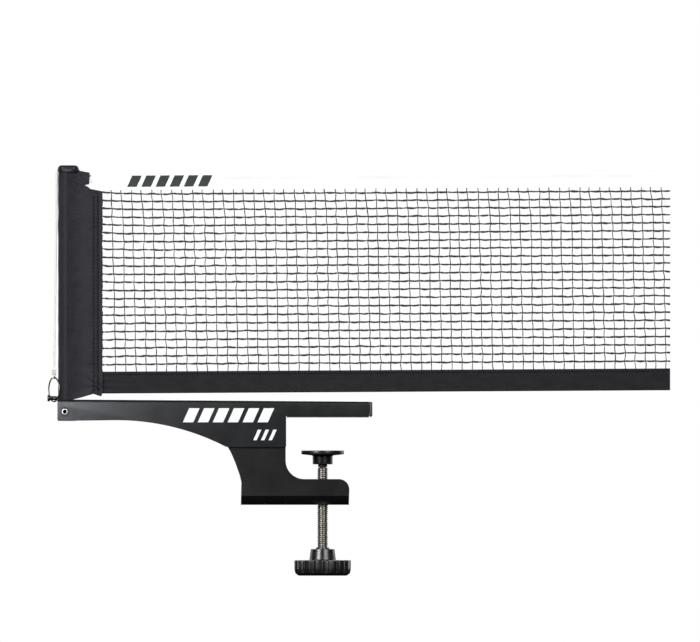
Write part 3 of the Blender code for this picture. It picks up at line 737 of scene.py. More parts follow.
@dataclass
class ClampFrame:
    """Arm, lower bracket and what is fixed in them."""

    finishes: Finishes
    edge: float = 0.28 * MM
    bend: float = 5.6 * MM
    crease: float = 0.8

    def creased(self, points: np.ndarray) -> np.ndarray:
        """Draws the bracket's bends towards flat slants.

        A point at radius r from the bend's axis moves towards the chord that joins the ends of
        its quarter circle: where its two distances from the axis add up to r.
        """
        low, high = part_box("lower_bracket")
        across, up = np.abs(points[:, 1]) - (high.y - self.bend), (low.z + self.bend) - points[:, 2]
        radius = np.hypot(across, up)
        inside = (across > 0) & (up > 0)
        factor = np.where(inside, radius / np.maximum(across + up, 1e-9), 1.0)
        share = 1 - self.crease * (1 - factor)
        moved = points.copy()
        moved[:, 1] = np.where(inside, np.sign(points[:, 1]) * (high.y - self.bend + across * share),
                               points[:, 1])
        moved[:, 2] = np.where(inside, low.z + self.bend - up * share, points[:, 2])
        return moved

    def grooved(self, points: np.ndarray) -> np.ndarray:
        """Draws the end cap's rear border up to the arm and inwards, so that a groove parts them."""
        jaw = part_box("arm_channel")[1].x
        rear = np.abs(points[:, 0] - jaw - 0.3 * MM) < 0.05 * MM
        middle = sum(corner.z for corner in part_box("jaw_end_cap")) / 2
        moved = points.copy()
        moved[rear, 0] = jaw + 0.03 * MM
        moved[rear, 1] -= 0.35 * MM * np.sign(points[rear, 1])
        moved[rear, 2] -= 0.35 * MM * np.sign(points[rear, 2] - middle)
        moved[points[:, 0] > jaw + 1.2 * MM, 0] += 0.2 * MM
        return moved

    def make(self) -> None:
        """Builds the plates and their fittings."""
        body = "clamp_frame"
        refined("arm_channel", "arm", self.finishes.arm, body, self.edge)
        refined("lower_bracket", "bracket", self.finishes.bracket, body, self.edge,
                self.creased)
        refined("jaw_liner", "liner", self.finishes.rubber, body, 0.15 * MM)
        refined("jaw_end_cap", "end_cap", self.finishes.end_cap, body, 0.08 * MM,
                self.grooved)
        refined("screw_nut", "nut", self.finishes.zinc, body, 0.2 * MM)
        refined("post_socket", "socket", self.finishes.plastic, body, 0.2 * MM)


@dataclass
class ClampScrew:
    """Screw of 20 turns to the inch, with its hand knob and the knob's cap.

    The thread is drawn 6.7 mm across, more than the 6.35 mm of a true quarter inch, and its crests
    stand 0.05 mm into the wall of the nut's bore.
    """

    finishes: Finishes
    radius: float = 3.35 * MM
    root: float = 2.80 * MM
    pitch: float = 1.27 * MM
    neck: float = 2.0 * MM
    thread_end: float = -0.0312
    neck_foot: float = -0.0318
    lobes: int = 14
    groove: float = 1.1 * MM
    phase: float = 5.7

    def thread(self, low: float, high: float) -> Patch:
        """Threaded length: a truncated tooth carried round a helix.

        Row i lies at height low + pitch (i / n + a / 360) and takes the tooth's radius at i mod n;
        heights are kept between the ends, where the radius falls away at 45 degrees.
        """
        tooth = np.interp(np.arange(8) / 8, [0, 0.25, 0.5, 0.625, 1],
                          [self.radius, self.radius, self.root, self.root, self.radius])
        turns = int((high - low) / self.pitch) + 2
        row = np.arange(-8, turns * 8)
        angle = np.linspace(0, TURN, 49)
        height = low + self.pitch * (row[:, None] / 8 + angle[None, :] / TURN)
        height = np.clip(height, low, high)
        reach = np.minimum(tooth[row % 8][:, None], self.root - 0.3 * MM + (high - height))
        points = np.stack([reach * np.cos(angle), reach * np.sin(angle), height], -1)
        flat = points[-1:] * np.array([0.0, 0.0, 1.0])
        points = np.concatenate([points[:1] * np.array([0.0, 0.0, 1.0]), points, flat])
        return Patch(points)

    def hexagonal(self, radius: np.ndarray, height: np.ndarray, angle: np.ndarray) -> np.ndarray:
        """Radius of a hexagon whose flats lie at the given radius: r / cos of the angle off a flat."""
        return radius / np.cos(off_flat(angle)) + 0 * height

    def lobed(self, radius: np.ndarray, height: np.ndarray, angle: np.ndarray) -> np.ndarray:
        """Radius of the knob: wide lobes parted by narrow grooves that fade out inwards and below."""
        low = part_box("knob")[0].z
        rim = np.clip((radius - 9.0 * MM) / (6.0 * MM), 0, 1)
        lift = np.clip((height - low) / (2.2 * MM), 0, 1)
        wave = 0.5 - 0.5 * np.cos(self.lobes * (angle - math.radians(self.phase)))
        return radius - self.groove * rim * lift * wave**4.0

    def make(self) -> None:
        """Builds the screw, the knob and the cap."""
        low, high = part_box("clamp_spindle")
        knob_low, knob_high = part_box("knob")
        neck_top = high.z - 1.6 * MM
        tip = lathe(fillet([(0, self.neck_foot, 0), (self.neck, self.neck_foot, 0),
                            (self.neck, neck_top, 0),
                            (2.7 * MM, neck_top, 0), (2.7 * MM, high.z - 0.6 * MM, 0.2 * MM),
                            (2.2 * MM, high.z, 0.2 * MM), (0, high.z, 0)]), 40)
        flat, head_top = 5.53 * MM, low.z + 4 * MM
        head = lathe(np.array([(0, low.z), (5.3 * MM, low.z), (flat, low.z + 0.3 * MM),
                               (flat, head_top), (0, head_top)]), 48, self.hexagonal)
        build("screw", [self.thread(low.z + 3.5 * MM, self.thread_end), tip, head], self.finishes.screw,
              "screw", ("clamp_spindle",), 30.0)
        rim, top = 17.65 * MM, knob_low.z + 9.7 * MM
        profile = fillet([
            (8.8 * MM, knob_low.z + 2.1 * MM, 0), (8.8 * MM, knob_low.z, 0.3 * MM),
            (rim - 2.6 * MM, knob_low.z, 1.6 * MM), (rim - 0.5 * MM, knob_low.z + 1.6 * MM, 1.4 * MM),
            (rim, knob_low.z + 4.2 * MM, 2.0 * MM), (rim, top, 0.7 * MM),
            (8.3 * MM, top + 0.15 * MM, 0.5 * MM),
            (7.4 * MM, knob_high.z - 0.9 * MM, 0.4 * MM), (4.35 * MM, knob_high.z - 0.9 * MM, 0.2 * MM),
            (4.2 * MM, knob_high.z, 0.2 * MM), (3.3 * MM, knob_high.z, 0),
            (3.3 * MM, knob_low.z + 7 * MM, 0), (0, knob_low.z + 7 * MM, 0)], 5)
        floor = np.array([(0, knob_low.z + 2.1 * MM), (8.8 * MM, knob_low.z + 2.1 * MM)])
        spans = self.lobes * 16
        build("hand_knob", [lathe(profile, spans, self.lobed), lathe(floor, spans, self.lobed)],
              self.finishes.plastic, "screw", ("knob",), 40.0)
        cap = fillet([(0, knob_low.z + 2.0 * MM, 0), (8.5 * MM, knob_low.z + 2.0 * MM, 0.2 * MM),
                      (8.5 * MM, knob_low.z + 0.1 * MM, 0.4 * MM),
                      (7.0 * MM, knob_low.z + 0.1 * MM, 0.3 * MM),
                      (6.6 * MM, knob_low.z + 0.5 * MM, 0.3 * MM), (0, knob_low.z + 0.5 * MM, 0)])
        build("cap_under_knob", [lathe(cap, 64)], self.finishes.matt, "screw",
              ("knob_cap",))


@dataclass
class PressurePad:
    """Disc that presses on the table's underside, and the bush in its hub."""

    finishes: Finishes
    radius: float = 13.3 * MM
    hub: float = 6.3 * MM
    seat: float = -0.0233

    def make(self) -> None:
        """Builds the pad with shallow rings on its face, and the turned bush."""
        low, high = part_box("pressure_pad")
        rings = [(at * MM, high.z - depth * MM, 0.15 * MM)
                 for at, depth in ((11.2, 0), (11.0, 0.35), (10.2, 0.35), (10.0, 0),
                                   (7.4, 0), (7.2, 0.35), (6.4, 0.35), (6.2, 0))]
        bore = 3.4 * MM
        profile = fillet([
            (0, self.seat, 0), (bore, self.seat, 0), (bore, low.z, 0.2 * MM),
            (self.hub - 0.1 * MM, low.z, 0.5 * MM),
            (self.hub, high.z - 3.15 * MM, 0.6 * MM), (self.radius, high.z - 2.4 * MM, 0.6 * MM),
            (self.radius, high.z, 0.5 * MM), *rings,
            (0, high.z, 0)], 5)
        build("pad", [lathe(profile, 96)], self.finishes.plastic, "pad",
              ("pressure_pad",))
        bush_low, bush_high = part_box("pad_bush")
        ring = fillet([(2.3 * MM, bush_high.z, 0), (2.3 * MM, bush_low.z, 0.2 * MM),
                       (2.9 * MM, bush_low.z, 0.3 * MM), (2.9 * MM, bush_high.z, 0),
                       (2.3 * MM, bush_high.z, 0)])
        build("bush", [lathe(ring, 48)], self.finishes.matt, "pad", ("pad_bush",))


@dataclass
class SetScrew:
    """Hexagon-socket set screw in the arm's front, which locks the post."""

    finishes: Finishes
    radius: float = 2.0 * MM
    socket: float = 1.15 * MM

    def bored(self, radius: np.ndarray, height: np.ndarray, angle: np.ndarray) -> np.ndarray:
        """Round outside and hexagonal inside: the hexagon's share grows as the radius falls."""
        share = np.clip((1.45 * MM - radius) / (0.2 * MM), 0, 1)
        return radius * (1 + share * (1 / np.cos(off_flat(angle)) - 1))

    def make(self) -> None:
        """Builds the screw: point, flank, chamfer, face and socket."""
        low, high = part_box("post_set_screw")
        length = high.y - low.y
        profile = fillet([(0, 0, 0), (1.2 * MM, 0, 0), (self.radius, 0.8 * MM, 0),
                          (self.radius, length - 0.35 * MM, 0.15 * MM), (1.7 * MM, length, 0.1 * MM),
                          (1.45 * MM, length, 0), (self.socket + 0.08 * MM, length, 0),
                          (self.socket, length - 0.12 * MM, 0), (self.socket, length - 2.4 * MM, 0),
                          (0, length - 3.2 * MM, 0)], 4)
        screw = aimed(lathe(profile, 48, self.bored), Facing.FRONT, (POST_X, high.y, SET_SCREW_Z))
        build("set_screw_body", [screw], self.finishes.set_screw, "set_screw",
              ("post_set_screw",), 30.0)


# ------------------------------------------------------- post and its fittings


@dataclass
class Post:
    """Post tube, its cap, the stud that the ring hooks over, and the ring."""

    finishes: Finishes
    radius: float = 3.3 * MM
    cap_foot: float = 0.1531
    spigot: tuple[float, float] = (0.1420, 0.1536)
    cord_way: float = 0.1551
    stud_z: float = 0.0121
    ring_centre: tuple[float, float, float] = (RING_X, 0.0, 0.0175)
    ring_height: float = 7.55 * MM

    def block(self, low: Vector, high: Vector, plan: float, edge: float) -> Patch:
        """Rounded block: a rounded rectangle drawn in as it climbs over its edges.

        Corner centres sit a plan radius inside the sides, and each row is the outline drawn in by
        the amount that a quarter circle of the edge radius gives at that height.
        """
        angle = np.linspace(0, TURN / 4, 9)
        turns = np.concatenate([angle + quarter * TURN / 4 for quarter in range(4)] + [[0.0]])
        signs = [(1, 1), (-1, 1), (-1, -1), (1, -1)]
        corner = np.repeat(np.array(signs, float), 9, axis=0)
        corner = np.concatenate([corner, corner[:1]])
        middle, half = (low + high) / 2, (high - low) / 2
        climb = np.linspace(0, TURN / 4, 8)
        foot = 0.15 * MM
        inset = np.concatenate([[plan, foot, 0.0], edge * (1 - np.cos(climb)), [plan]])
        height = np.concatenate([[low.z, low.z, low.z + foot],
                                 high.z - edge + edge * np.sin(climb), [high.z]])
        x, y = ((corner[None, :, at] * (half[at] - plan)
                 + (plan - inset[:, None]) * (np.cos, np.sin)[at](turns)[None, :]) for at in (0, 1))
        points = np.stack([middle.x + x, middle.y + y, height[:, None] + 0 * x], -1)
        poles = [np.broadcast_to([middle.x, middle.y, z], points[:1].shape) for z in (low.z, high.z)]
        return Patch(np.concatenate([poles[0], points, poles[1]]))

    def eyelet(self, x: float, z: float) -> Patch:
        """Small lip round the cord's way: a ring of 1.1 mm radius that faces along X."""
        angle = np.linspace(0, TURN, 25)
        path = np.stack([x + 0 * angle, 1.1 * MM * np.cos(angle), z + 1.1 * MM * np.sin(angle)], -1)
        return tube(path, 0.28 * MM, 8, (1, 0, 0), closed=True)

    def make(self) -> None:
        """Builds the tube, the cap, the stud and the ring."""
        low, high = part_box("post_tube")
        bore = 2.3 * MM
        wall = fillet([(bore, low.z, 0), (self.radius, low.z, 0.3 * MM), (self.radius, high.z, 0.3 * MM),
                       (bore, high.z, 0.2 * MM), (bore, low.z, 0)])
        build("post", [aimed(lathe(wall, 56), Facing.UP, (POST_X, 0, 0))], self.finishes.tube,
              "post", ("post_tube",))
        cap_low, cap_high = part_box("post_cap")
        cap_low.z = self.cap_foot
        foot, top = self.spigot
        spigot = fillet([(0, foot, 0), (2.0 * MM, foot, 0.3 * MM), (2.0 * MM, top, 0), (0, top, 0)])
        build("cap_on_post", [self.block(cap_low, cap_high, 3.6 * MM, 1.9 * MM),
                              aimed(lathe(spigot, 32), Facing.UP, (POST_X, 0, 0)),
                              *(self.eyelet(x, self.cord_way) for x in (cap_low.x, cap_high.x))],
              self.finishes.cap, "post", ("post_cap",), 50.0)
        stud = fillet([(0, 1.5 * MM, 0), (1.2 * MM, 1.5 * MM, 0), (1.2 * MM, 5.0 * MM, 0),
                       (1.4 * MM, 5.2 * MM, 0.1 * MM), (1.35 * MM, 7.2 * MM, 1.5 * MM),
                       (1.4 * MM, 9.1 * MM, 0.2 * MM), (2.1 * MM, 9.6 * MM, 0.2 * MM),
                       (2.1 * MM, 10.4 * MM, 0.3 * MM), (1.7 * MM, 10.8 * MM, 0.2 * MM), (0, 10.8 * MM, 0)])
        build("stud", [aimed(lathe(stud, 40), Facing.LEFT, (POST_X, 0, self.stud_z))],
              self.finishes.plastic, "post", ("cord_stud",))
        angle = np.linspace(0, TURN, 97)[:, None]
        oval = (np.array(self.ring_centre) + np.cos(angle) * np.array(RING_FACING)
                + np.sin(angle) * np.array([0, 0, self.ring_height]))
        side = np.cross(RING_FACING, (0, 0, 1))
        build("ring", [tube(oval, RING_WIRE, 14, tuple(side), closed=True)], self.finishes.wire,
              "post", ("cord_ring",))


@dataclass
class TensionCord:
    """Braided cord from the ring, over the post and along inside the top tape."""

    finishes: Finishes
    radius: float = 0.6 * MM
    tube_z: float = 0.1512
    ring_top: float = 0.0258

    def route(self) -> np.ndarray:
        """The cord's centre line in the net's plane, n by 3."""
        free = [(RING_X, self.ring_top), (-0.16760, 0.0450), (-0.16715, 0.0750), (-0.16675, 0.1050),
                (-0.16640, 0.1300), (-0.16625, 0.1450), (-0.16622, 0.1505), (-0.16625, 0.1532),
                (-0.16570, 0.1547), (-0.16490, 0.1551), (-0.15800, 0.1551), (-0.15300, 0.1551),
                (-0.15130, 0.1544), (-0.14960, 0.1529),
                (-0.14780, net_height(-0.1478, self.tube_z) + 0.0002)]
        along = [(x, net_height(x, self.tube_z))
                 for x in (-0.1453, -0.1200, 0.0, 0.1000, NET_END_X - 0.0005)]
        points = np.array(free + along)
        return smooth_route(np.stack([points[:, 0], 0 * points[:, 0], points[:, 1]], -1), 8)

    def knot(self) -> list[Patch]:
        """Loop through the ring and three turns round the cord above it.

        The loop is a circle of 0.85 mm radius round the wire, and the turns are a helix of 0.95 mm
        radius.
        """
        top = np.array([RING_X, 0.0, self.ring_top - 0.0003 - RING_WIRE])
        across = np.cross(RING_FACING, (0, 0, 1))
        across /= np.linalg.norm(across)
        angle = np.linspace(0, TURN, 33)[:, None]
        loop = top + 0.85 * MM * (np.cos(angle) * across + np.sin(angle) * np.array([0, 0, 1.0]))
        turn = np.linspace(0, 3 * TURN, 73)
        helix = np.stack([top[0] + 0.95 * MM * np.cos(turn), 0.95 * MM * np.sin(turn),
                          self.ring_top + 0.0008 + 1.15 * MM * turn / TURN], -1)
        return [tube(loop, 0.36 * MM, 10, RING_FACING, closed=True),
                tube(helix, self.radius * 0.80, 10, (0, 0, 1))]

    def make(self) -> None:
        """Builds the cord and its knot."""
        path = self.route()
        build("cord", [tube(path, self.radius, 14), *self.knot()], self.finishes.cord, "post",
              ("tension_cord",), 60.0)


# -------------------------------------------------------------------- the net


@dataclass
class Sleeve:
    """Cloth sleeve sewn round the post, with two rows of stitches at the net's side."""

    finishes: Finishes
    cloth: float = 0.45 * MM
    inside: float = 3.6 * MM
    gap: float = 1.0 * MM
    low: float = 0.0102
    high: float = 0.1530
    rows: int = 262
    tuck: float = 1.3 * MM
    seams: tuple[float, float] = SLEEVE_SEAMS
    stitch: float = 2.6 * MM

    def right_edge(self, z: np.ndarray) -> np.ndarray:
        """The sleeve's right side at each height: straight, a notch, then the short upper tab."""
        corners = np.array([
            (0.0, -0.1375), (0.1404, -0.1375), (0.1412, -0.1379), (0.1419, -0.1415), (0.1426, -0.1452),
            (0.1432, -0.1458), (0.1438, -0.1466), (0.14395, -0.1480), (0.1443, -0.1483), (0.14475, -0.1480),
            (0.1450, -0.1460), (0.1454, -0.1456), (0.2, -0.1455)])
        return np.interp(z, corners[:, 0], corners[:, 1]) + 0.00012 * waves(z, z, (0.006, 0.004), SEED)

    def foot(self, x: np.ndarray) -> np.ndarray:
        """The sleeve's lower edge: level under the post, then rising, with a turned-down corner."""
        edge = np.array([(-0.1670, 0.0102), (-0.1590, 0.0104), (-0.1500, 0.0127), (-0.1434, 0.0147),
                         (-0.1420, 0.0143), (-0.1392, 0.0133), (-0.1384, 0.0132), (-0.1378, 0.0146),
                         (-0.1375, 0.0160)])
        return np.interp(x, edge[:, 0], edge[:, 1])

    def bulge(self, x: np.ndarray, z: np.ndarray, side: int) -> np.ndarray:
        """How far the cloth stands out from its plain shape: folds, sunk seams and a thick edge."""
        out = 0.30 * MM * waves(x, z, (0.014, 0.050), SEED + side)
        out = out + 0.09 * MM * waves(x, z, (0.007, 0.010), SEED + 4 + side)
        dx, dz = x + 0.1400, z - 0.0200
        turn, away = np.arctan2(dz, -dx), np.hypot(dx, dz)
        out = out + 0.60 * MM * np.sin(turn * 9 + 0.8) * np.exp(-away / 0.014) * (away > 0)
        out = out + 0.50 * MM * np.sin((z - 0.0335) / 0.0016) * np.exp(
            -((z - 0.0335) / 0.0045) ** 2 - ((x + 0.1455) / 0.0085) ** 2)
        crinkle = np.exp(-((z - 0.1470) / 0.0060) ** 2)
        out = out + 0.60 * MM * crinkle * waves(x, z, (0.006, 0.005), SEED + 9)
        for seam in self.seams:
            pull = 0.75 + 0.25 * np.cos(TURN * z / self.stitch)
            out = out - 0.50 * MM * pull * np.exp(-((x - seam) / (0.55 * MM)) ** 2)
        return out + 0.15 * MM * (x > -0.1392)

    def plan(self, x_edge: np.ndarray, radius: float, half: float) -> tuple[np.ndarray, np.ndarray]:
        """One face of the sleeve seen from above, for each row.

        Outside the circle round the post, the half width is half + a exp(-(x - xt) / l), which
        leaves the circle without a kink at 60 degrees and settles at half.
        """
        touch = math.radians(60)
        start, rise = radius * math.cos(touch), radius * math.sin(touch) - half
        fade = rise * math.tan(touch)
        share = np.linspace(0, 1, 64) ** 0.9
        reach = x_edge[:, None] - POST_X - start
        x = start + reach * share[None, ::-1]
        y = half + rise * np.exp(-(x - start) / fade)
        angle = np.linspace(touch, TURN - touch, 57)[None, 1:-1] + 0 * x_edge[:, None]
        return (np.concatenate([x, radius * np.cos(angle), x[:, ::-1]], 1) + POST_X,
                np.concatenate([y, radius * np.sin(angle), -y[:, ::-1]], 1))

    def face(self, radius: float, half: float, share: float) -> np.ndarray:
        """Grid of one face of the cloth: plan shapes stacked up, shifted out by the bulge."""
        step = np.linspace(0, 1, self.rows)
        level = self.low + (self.high - self.low) * step
        x, y = self.plan(self.right_edge(level), radius, half)
        foot = self.foot(x)
        top = self.high + self.tuck * np.clip((-0.1452 - x) / (7.5 * MM), 0, 1)
        z = foot + (level[:, None] - self.low) / (self.high - self.low) * (top - foot)
        around = np.clip((x - POST_X) / 0.006, 0, 1)
        wrap = 0.10 * MM * waves(np.arctan2(y, x - POST_X), z, (3.0, 0.030), SEED + 20)
        bulge = np.where(y > 0, self.bulge(x, z, 1), self.bulge(x, z, 0)) * around * share
        outward = np.hypot(x - POST_X, y)
        tight = (1 - around) * np.clip(wrap, -0.05 * MM, 1) / outward
        x = x + (x - POST_X) * tight
        y = y + y * tight + np.sign(y) * bulge
        return np.stack([x, y, z], -1)

    def stitches(self, outer: np.ndarray) -> list[Patch]:
        """Dashes of thread on both faces, each a small arched tube that dips at its ends."""
        made = []
        t = np.linspace(0, 1, 5)
        middle = outer.shape[1] // 2
        for half in (outer[:, :middle], outer[:, middle:]):
            for seam in self.seams:
                column = np.abs(half[self.rows // 2, :, 0] - seam).argmin()
                height, side = half[:, column, 2], half[:, column, 1]
                for start in np.arange(0.0172, 0.1390, self.stitch):
                    z = start + 1.5 * MM * t
                    y = np.interp(z, height, side)
                    y = y + np.sign(y) * (0.34 * np.sin(math.pi * t) - 0.14) * MM
                    made.append(tube(np.stack([seam + 0 * t, y, z], -1), 0.42 * MM, 6))
        return made

    def make(self) -> None:
        """Builds the cloth and its stitches."""
        outer = self.face(self.inside + self.cloth, self.gap + self.cloth, 1.0)
        inner = self.face(self.inside, self.gap, 0.9)
        cloth = build("sleeve", two_faced(outer, inner), self.finishes.sleeve, "post",
                      ("side_sleeve",), 70.0)
        thread = build("sleeve_stitches", self.stitches(outer), self.finishes.seam, "post",
                       (), 70.0)


@dataclass
class Net:
    """Mesh of threads between the white top tape and the dark hem."""

    finishes: Finishes
    mesh_start: float = -0.1400
    row_top: float = 0.1405
    row_foot: float = 0.0334
    row_count: int = 22
    drawn: float = 0.85 * MM
    column_pitch: float = 6.37 * MM
    column_first: float = -0.1322
    lean: float = 2.8 * MM
    slant: float = 1.0 * MM
    row_radius: float = 0.55 * MM
    column_radius: float = 0.32 * MM
    stitch: float = 3.2 * MM
    easing: float = 4 * MM

    def pulled(self, x: np.ndarray, z: np.ndarray) -> np.ndarray:
        """Heights with the mesh spread a little, up and down from 60 mm, at the sleeve's seam."""
        return z + 0.016 * (z - 0.060) * np.exp(-(x + 0.1375) / 0.012)

    def row(self, z: float, number: int) -> Patch:
        """One horizontal thread: it sags between the uprights and is thinner where they cross it."""
        x = np.linspace(self.mesh_start, NET_END_X, 430)
        phase = (x - self.column_at(z, 0)) / self.column_pitch
        sag = 0.10 * MM * (np.cos(TURN * phase) - 1)
        uneven = 0.10 * MM * waves(x, 0 * x + number * 0.01, (0.018, 0.004), SEED + 31)
        height = net_height(x, self.pulled(x, z)) + sag + uneven
        swell = self.row_radius * (1 - 0.38 * np.exp(-((phase - np.round(phase)) / 0.08) ** 2)
                                   + 0.13 * waves(x, 0 * x + number, (0.003, 1.0), SEED + 32))
        y = 0.08 * MM * np.cos(math.pi * np.round(phase)) * np.cos(TURN * phase)
        return tube(np.stack([x, y, height], -1), swell, 6)

    def column_at(self, z: np.ndarray | float, number: int) -> np.ndarray | float:
        """Where an upright stands at a height: they lean a little towards the foot."""
        fall = (self.row_top - z) / (self.row_top - self.row_foot)
        return self.column_first + number * self.column_pitch + self.lean * np.sign(fall) * np.abs(
            fall) ** 0.8

    def column(self, number: int) -> Patch:
        """One upright thread: it bends a little from cell to cell.

        Every second upright also slants across the three upper rows, and the shift fades out between
        the sixth and the twelfth row.
        """
        pitch = (self.row_top - self.row_foot) / (self.row_count - 1)
        z = np.linspace(0.0278, 0.1432, 112)
        cell = (self.row_top - z) / pitch
        side = (0.12 * MM * np.sin(math.pi * cell + number * 0.9)
                + self.slant * (number % 2) * (np.clip(cell / 3, 0, 1) - 0.5)
                * np.clip(2 - cell / 6, 0, 1))
        uneven = 0.12 * MM * waves(z, 0 * z + number * 0.01, (0.012, 0.004), SEED + 41)
        x = self.column_at(z, number) + side + uneven
        y = 0.12 * MM * np.sin(math.pi * cell + math.pi * number)
        height = net_height(x, self.pulled(x, z))
        return tube(np.stack([x, y, height], -1), self.column_radius * (
            1 + 0.12 * waves(z, 0 * z + number, (0.005, 1.0), SEED + 42)), 6, (1, 0, 0))

    def mesh(self) -> bpy.types.Object:
        """Builds the threads as one piece, the upper rows drawn down by less from row to row."""
        rows = [self.row(z, number) for number, z in
                enumerate(np.linspace(self.row_top, self.row_foot, self.row_count)
                          - self.drawn * np.exp(-np.arange(self.row_count) / 3))]
        last = int((NET_END_X - self.column_first - self.lean) / self.column_pitch)
        columns = [self.column(number) for number in range(last + 1)]
        return build("net", rows + columns, self.finishes.net, "post", ("net_mesh",), 60.0)

    def folded(self, x: np.ndarray, outer: np.ndarray, inner: np.ndarray,
               shift: Callable[[np.ndarray, np.ndarray], np.ndarray]) -> list[Patch]:
        """A tape folded lengthwise round the net.

        Args:
            x: positions along the net.
            outer: (y, z) outline of its outer face, n by 2.
            inner: outline of its inner face, with as many points.
            shift: gives how far each point of the outer face stands out, from x and z.

        Returns:
            The patches of the folded sheet.
        """
        grids = []
        for outline, share in ((outer, 1.0), (inner, 0.8)):
            along = x[:, None] + 0 * outline[None, :, 0]
            z = outline[None, :, 1] + 0 * along
            y = outline[None, :, 0] + 0 * along
            y = y + np.tanh(y / (0.3 * MM)) * shift(along, z) * share
            grids.append(np.stack([along, y, net_height(along, z)], -1))
        return two_faced(*grids)

    def top_tape(self) -> bpy.types.Object:
        """White tape: flat layers below a round casing that holds the cord, sewn along its foot."""
        low, high = 0.1422, 0.1524
        casing, cloth, sewn_at = 1.20 * MM, 0.38 * MM, low + 1.2 * MM
        cord = high - casing

        def outline(radius: float, half: float) -> np.ndarray:
            """Up the front, round the casing and down the back.

            Over the easing length below the casing's axis the half width eases from half to the
            radius, by s s (3 - 2 s) where s is the share of that stretch.
            """
            angle = np.linspace(math.pi, 0, 30)
            z = np.linspace(low, cord, 30, endpoint=False)
            ease = np.clip((z - cord + self.easing) / self.easing, 0, 1)
            side = np.stack([-half - (radius - half) * ease**2 * (3 - 2 * ease), z], -1)
            bow = np.stack([radius * np.cos(angle), cord + radius * np.sin(angle)], -1)
            return np.concatenate([side, bow, side[::-1] * np.array([-1, 1])])

        def shift(x: np.ndarray, z: np.ndarray) -> np.ndarray:
            """Soft ripples, and a sewn line a little above the foot."""
            sewn = np.exp(-((z - sewn_at) / (0.35 * MM)) ** 2)
            return (0.07 * MM * waves(x, z, (0.022, 0.012), SEED + 51)
                    - 0.10 * MM * sewn * (0.7 + 0.3 * np.cos(TURN * x / self.stitch)))

        x = np.linspace(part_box("top_tape")[0].x, NET_END_X, 500)
        half = 0.60 * MM
        patches = self.folded(x, outline(casing, half), outline(casing - cloth, half - cloth), shift)
        return build("tape", patches, self.finishes.tape, "post", ("top_tape",), 70.0)

    def hem(self) -> tuple[bpy.types.Object, bpy.types.Object]:
        """Dark tape folded round the net's foot and gathered at the sleeve, and its stitches."""
        low, high, cloth = 0.0150, 0.0287, 0.35 * MM
        sewn_at = high - 1.8 * MM

        def outline(half: float, foot: float) -> np.ndarray:
            """Down the front, round the foot and up the back."""
            angle = np.linspace(math.pi, TURN, 13)
            side = np.stack([np.full(40, -half), np.linspace(high, foot + half, 40, endpoint=False)], -1)
            bow = np.stack([half * np.cos(angle), foot + half + half * np.sin(angle)], -1)
            return np.concatenate([side, bow, side[::-1] * np.array([-1, 1])])

        def shift(x: np.ndarray, z: np.ndarray) -> np.ndarray:
            """Pleats that fade out along the hem, a sewn line near the top, and soft ripples."""
            near = np.exp(-np.clip(x + 0.1390, 0, 1) / 0.011)
            pleats = 0.30 * MM * near * np.sin((z - low) / (0.62 * MM) + 60 * (x + 0.139))
            sewn = np.exp(-((z - sewn_at) / (0.35 * MM)) ** 2)
            return (pleats + 0.10 * MM * waves(x, z, (0.030, 0.010), SEED + 61)
                    - 0.14 * MM * sewn * (0.7 + 0.3 * np.cos(TURN * x / self.stitch)))

        x = np.linspace(-0.1410, NET_END_X, 500)
        half = 0.62 * MM
        patches = self.folded(x, outline(half, low), outline(half - cloth, low + cloth), shift)
        thread = []
        t = np.linspace(0, 1, 5)
        for start in np.arange(-0.1340, NET_END_X - 3 * MM, self.stitch):
            along = start + 2.5 * MM * t
            for side in (-1, 1):
                y = side * (0.52 * MM + 0.28 * MM * np.sin(math.pi * t))
                line = np.stack([along, y, net_height(along, sewn_at)], -1)
                thread.append(tube(line, 0.24 * MM, 6, (0, 0, 1)))
        return (build("hem", patches, self.finishes.hem, "post", ("bottom_hem",), 70.0),
                build("hem_stitches", thread, self.finishes.seam, "post", (), 70.0))

    def make(self) -> None:
        mesh, tape, (hem, stitches) = self.mesh(), self.top_tape(), self.hem()


# ------------------------------------------------------------------ the studio


@dataclass(frozen=True)
class Softbox:
    """A flat soft light aimed at a point, placed by its direction from there.

    A light that is gloss_only shows in glossy surfaces and leaves cloth as it is.
    """

    name: str
    azimuth: float
    elevation: float
    distance: float
    width: float
    height: float
    watts: float
    colour: str = "#FFFFFF"
    aim: tuple[float, float, float] = (0.0, 0.0, 0.03)
    gloss_only: bool = False

    def place(self) -> None:
        """Adds the light. Azimuth 0 is the front, and it grows towards +X."""
        light = bpy.data.lights.new(self.name, "AREA")
        light.shape = "RECTANGLE"
        light.size, light.size_y = self.width, self.height
        light.energy = self.watts
        light.color = srgb(self.colour)[:3]
        lamp = bpy.data.objects.new(self.name, light)
        turn, lift = math.radians(self.azimuth), math.radians(self.elevation)
        back = Vector((math.sin(turn) * math.cos(lift), -math.cos(turn) * math.cos(lift),
                       math.sin(lift)))
        lamp.location = Vector(self.aim) + back * self.distance
        lamp.rotation_euler = back.to_track_quat("Z", "Y").to_euler()
        lamp.visible_camera = False
        lamp.visible_diffuse = not self.gloss_only
        bpy.context.scene.collection.objects.link(lamp)


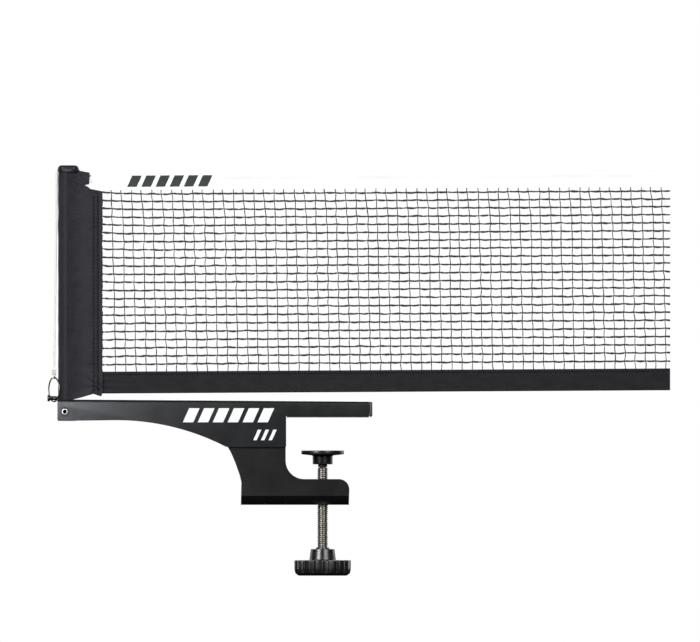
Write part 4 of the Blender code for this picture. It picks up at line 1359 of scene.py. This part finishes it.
@dataclass
class Studio:
    """White surroundings, a pale floor, lights all round and the camera."""

    width: float = 0.4375
    centre: tuple[float, float] = (0.0171, 0.0603)
    floor_z: float = -0.1150

    def world(self) -> None:
        """White behind the object as the camera sees it, and nearly dark as the object sees it."""
        world = bpy.data.worlds.new("studio")
        bpy.context.scene.world = world
        world.use_nodes = True
        tree = world.node_tree
        tree.nodes.clear()
        sees = add(tree, "LightPath").outputs["Is Camera Ray"]
        dim = add(tree, "Background", {"Color": srgb("#FFFFFF"), "Strength": 0.02})
        white = add(tree, "Background", {"Color": srgb("#FFFFFF"), "Strength": 1.0})
        mixed = add(tree, "MixShader", {0: sees, 1: dim.outputs[0], 2: white.outputs[0]})
        add(tree, "OutputWorld", {"Surface": mixed.outputs[0]})

    def floor(self) -> None:
        """Pale matt floor, a gently speckled grid of a few metres."""
        canvas = Canvas("pale_floor", {"Roughness": 0.9})
        share = canvas.noise(0.25, 2.0)
        material = canvas.wire(canvas.blend(share, srgb("#EDEDEC"), srgb("#F4F4F3")))
        count = 9
        span = np.linspace(-2.0, 2.0, count)
        x, y = np.meshgrid(span, span)
        mesh = bpy.data.meshes.new("floor")
        index = np.arange(count * count).reshape(count, count)
        faces = np.stack([index[:-1, :-1], index[:-1, 1:], index[1:, 1:], index[1:, :-1]], -1)
        points = np.stack([x, y, np.full_like(x, self.floor_z)], -1)
        mesh.from_pydata(points.reshape(-1, 3).tolist(), [], faces.reshape(-1, 4).tolist())
        mesh.materials.append(material)
        plane = bpy.data.objects.new("floor", mesh)
        plane.visible_diffuse = plane.visible_glossy = False
        bpy.context.scene.collection.objects.link(plane)

    def camera(self) -> None:
        """Level camera square to the net, with parallel rays."""
        data = bpy.data.cameras.new("camera")
        data.type = "ORTHO"
        data.ortho_scale = self.width
        data.clip_start, data.clip_end = 0.05, 10.0
        camera = bpy.data.objects.new("camera", data)
        camera.location = (self.centre[0], -1.5, self.centre[1])
        camera.rotation_euler = (math.radians(90), 0, 0)
        bpy.context.scene.collection.objects.link(camera)
        bpy.context.scene.camera = camera

    def make(self) -> None:
        """Sets up the studio."""
        self.world()
        self.floor()
        self.camera()
        for box in (
            Softbox("left softbox", -40, 24, 1.25, 0.7, 0.7, 12.5),
            Softbox("right softbox", 32, 24, 1.25, 0.7, 0.7, 12.5),
            Softbox("left glow", -6, 12, 0.30, 0.08, 0.10, 0.62, "#F2F6FF", (-0.178, 0.0, 0.0), True),
            Softbox("left strip", -42, 0, 1.20, 0.16, 1.2, 1.1, gloss_only=True),
            Softbox("right strip", 27, 0, 1.20, 0.16, 1.2, 1.1, gloss_only=True),
            Softbox("rear light", 180, 35, 1.40, 0.9, 0.9, 11.0),
            Softbox("left side light", -132, 12, 1.3, 0.8, 1.0, 3.5),
            Softbox("right side light", 132, 12, 1.3, 0.8, 1.0, 4.0),
        ):
            box.place()
        bpy.context.scene.view_settings.view_transform = "Standard"


def main() -> None:
    """Builds the object and the studio."""
    logging.basicConfig(level=logging.INFO, format="%(name)s: %(message)s")
    Studio().make()
    finishes = Finishes()
    for part in (TensionCord, ClampFrame, ClampScrew, PressurePad, SetScrew, Post, Sleeve, Net):
        LOG.info("making %s", part.__name__)
        part(finishes).make()


if __name__ == "__main__":
    main()
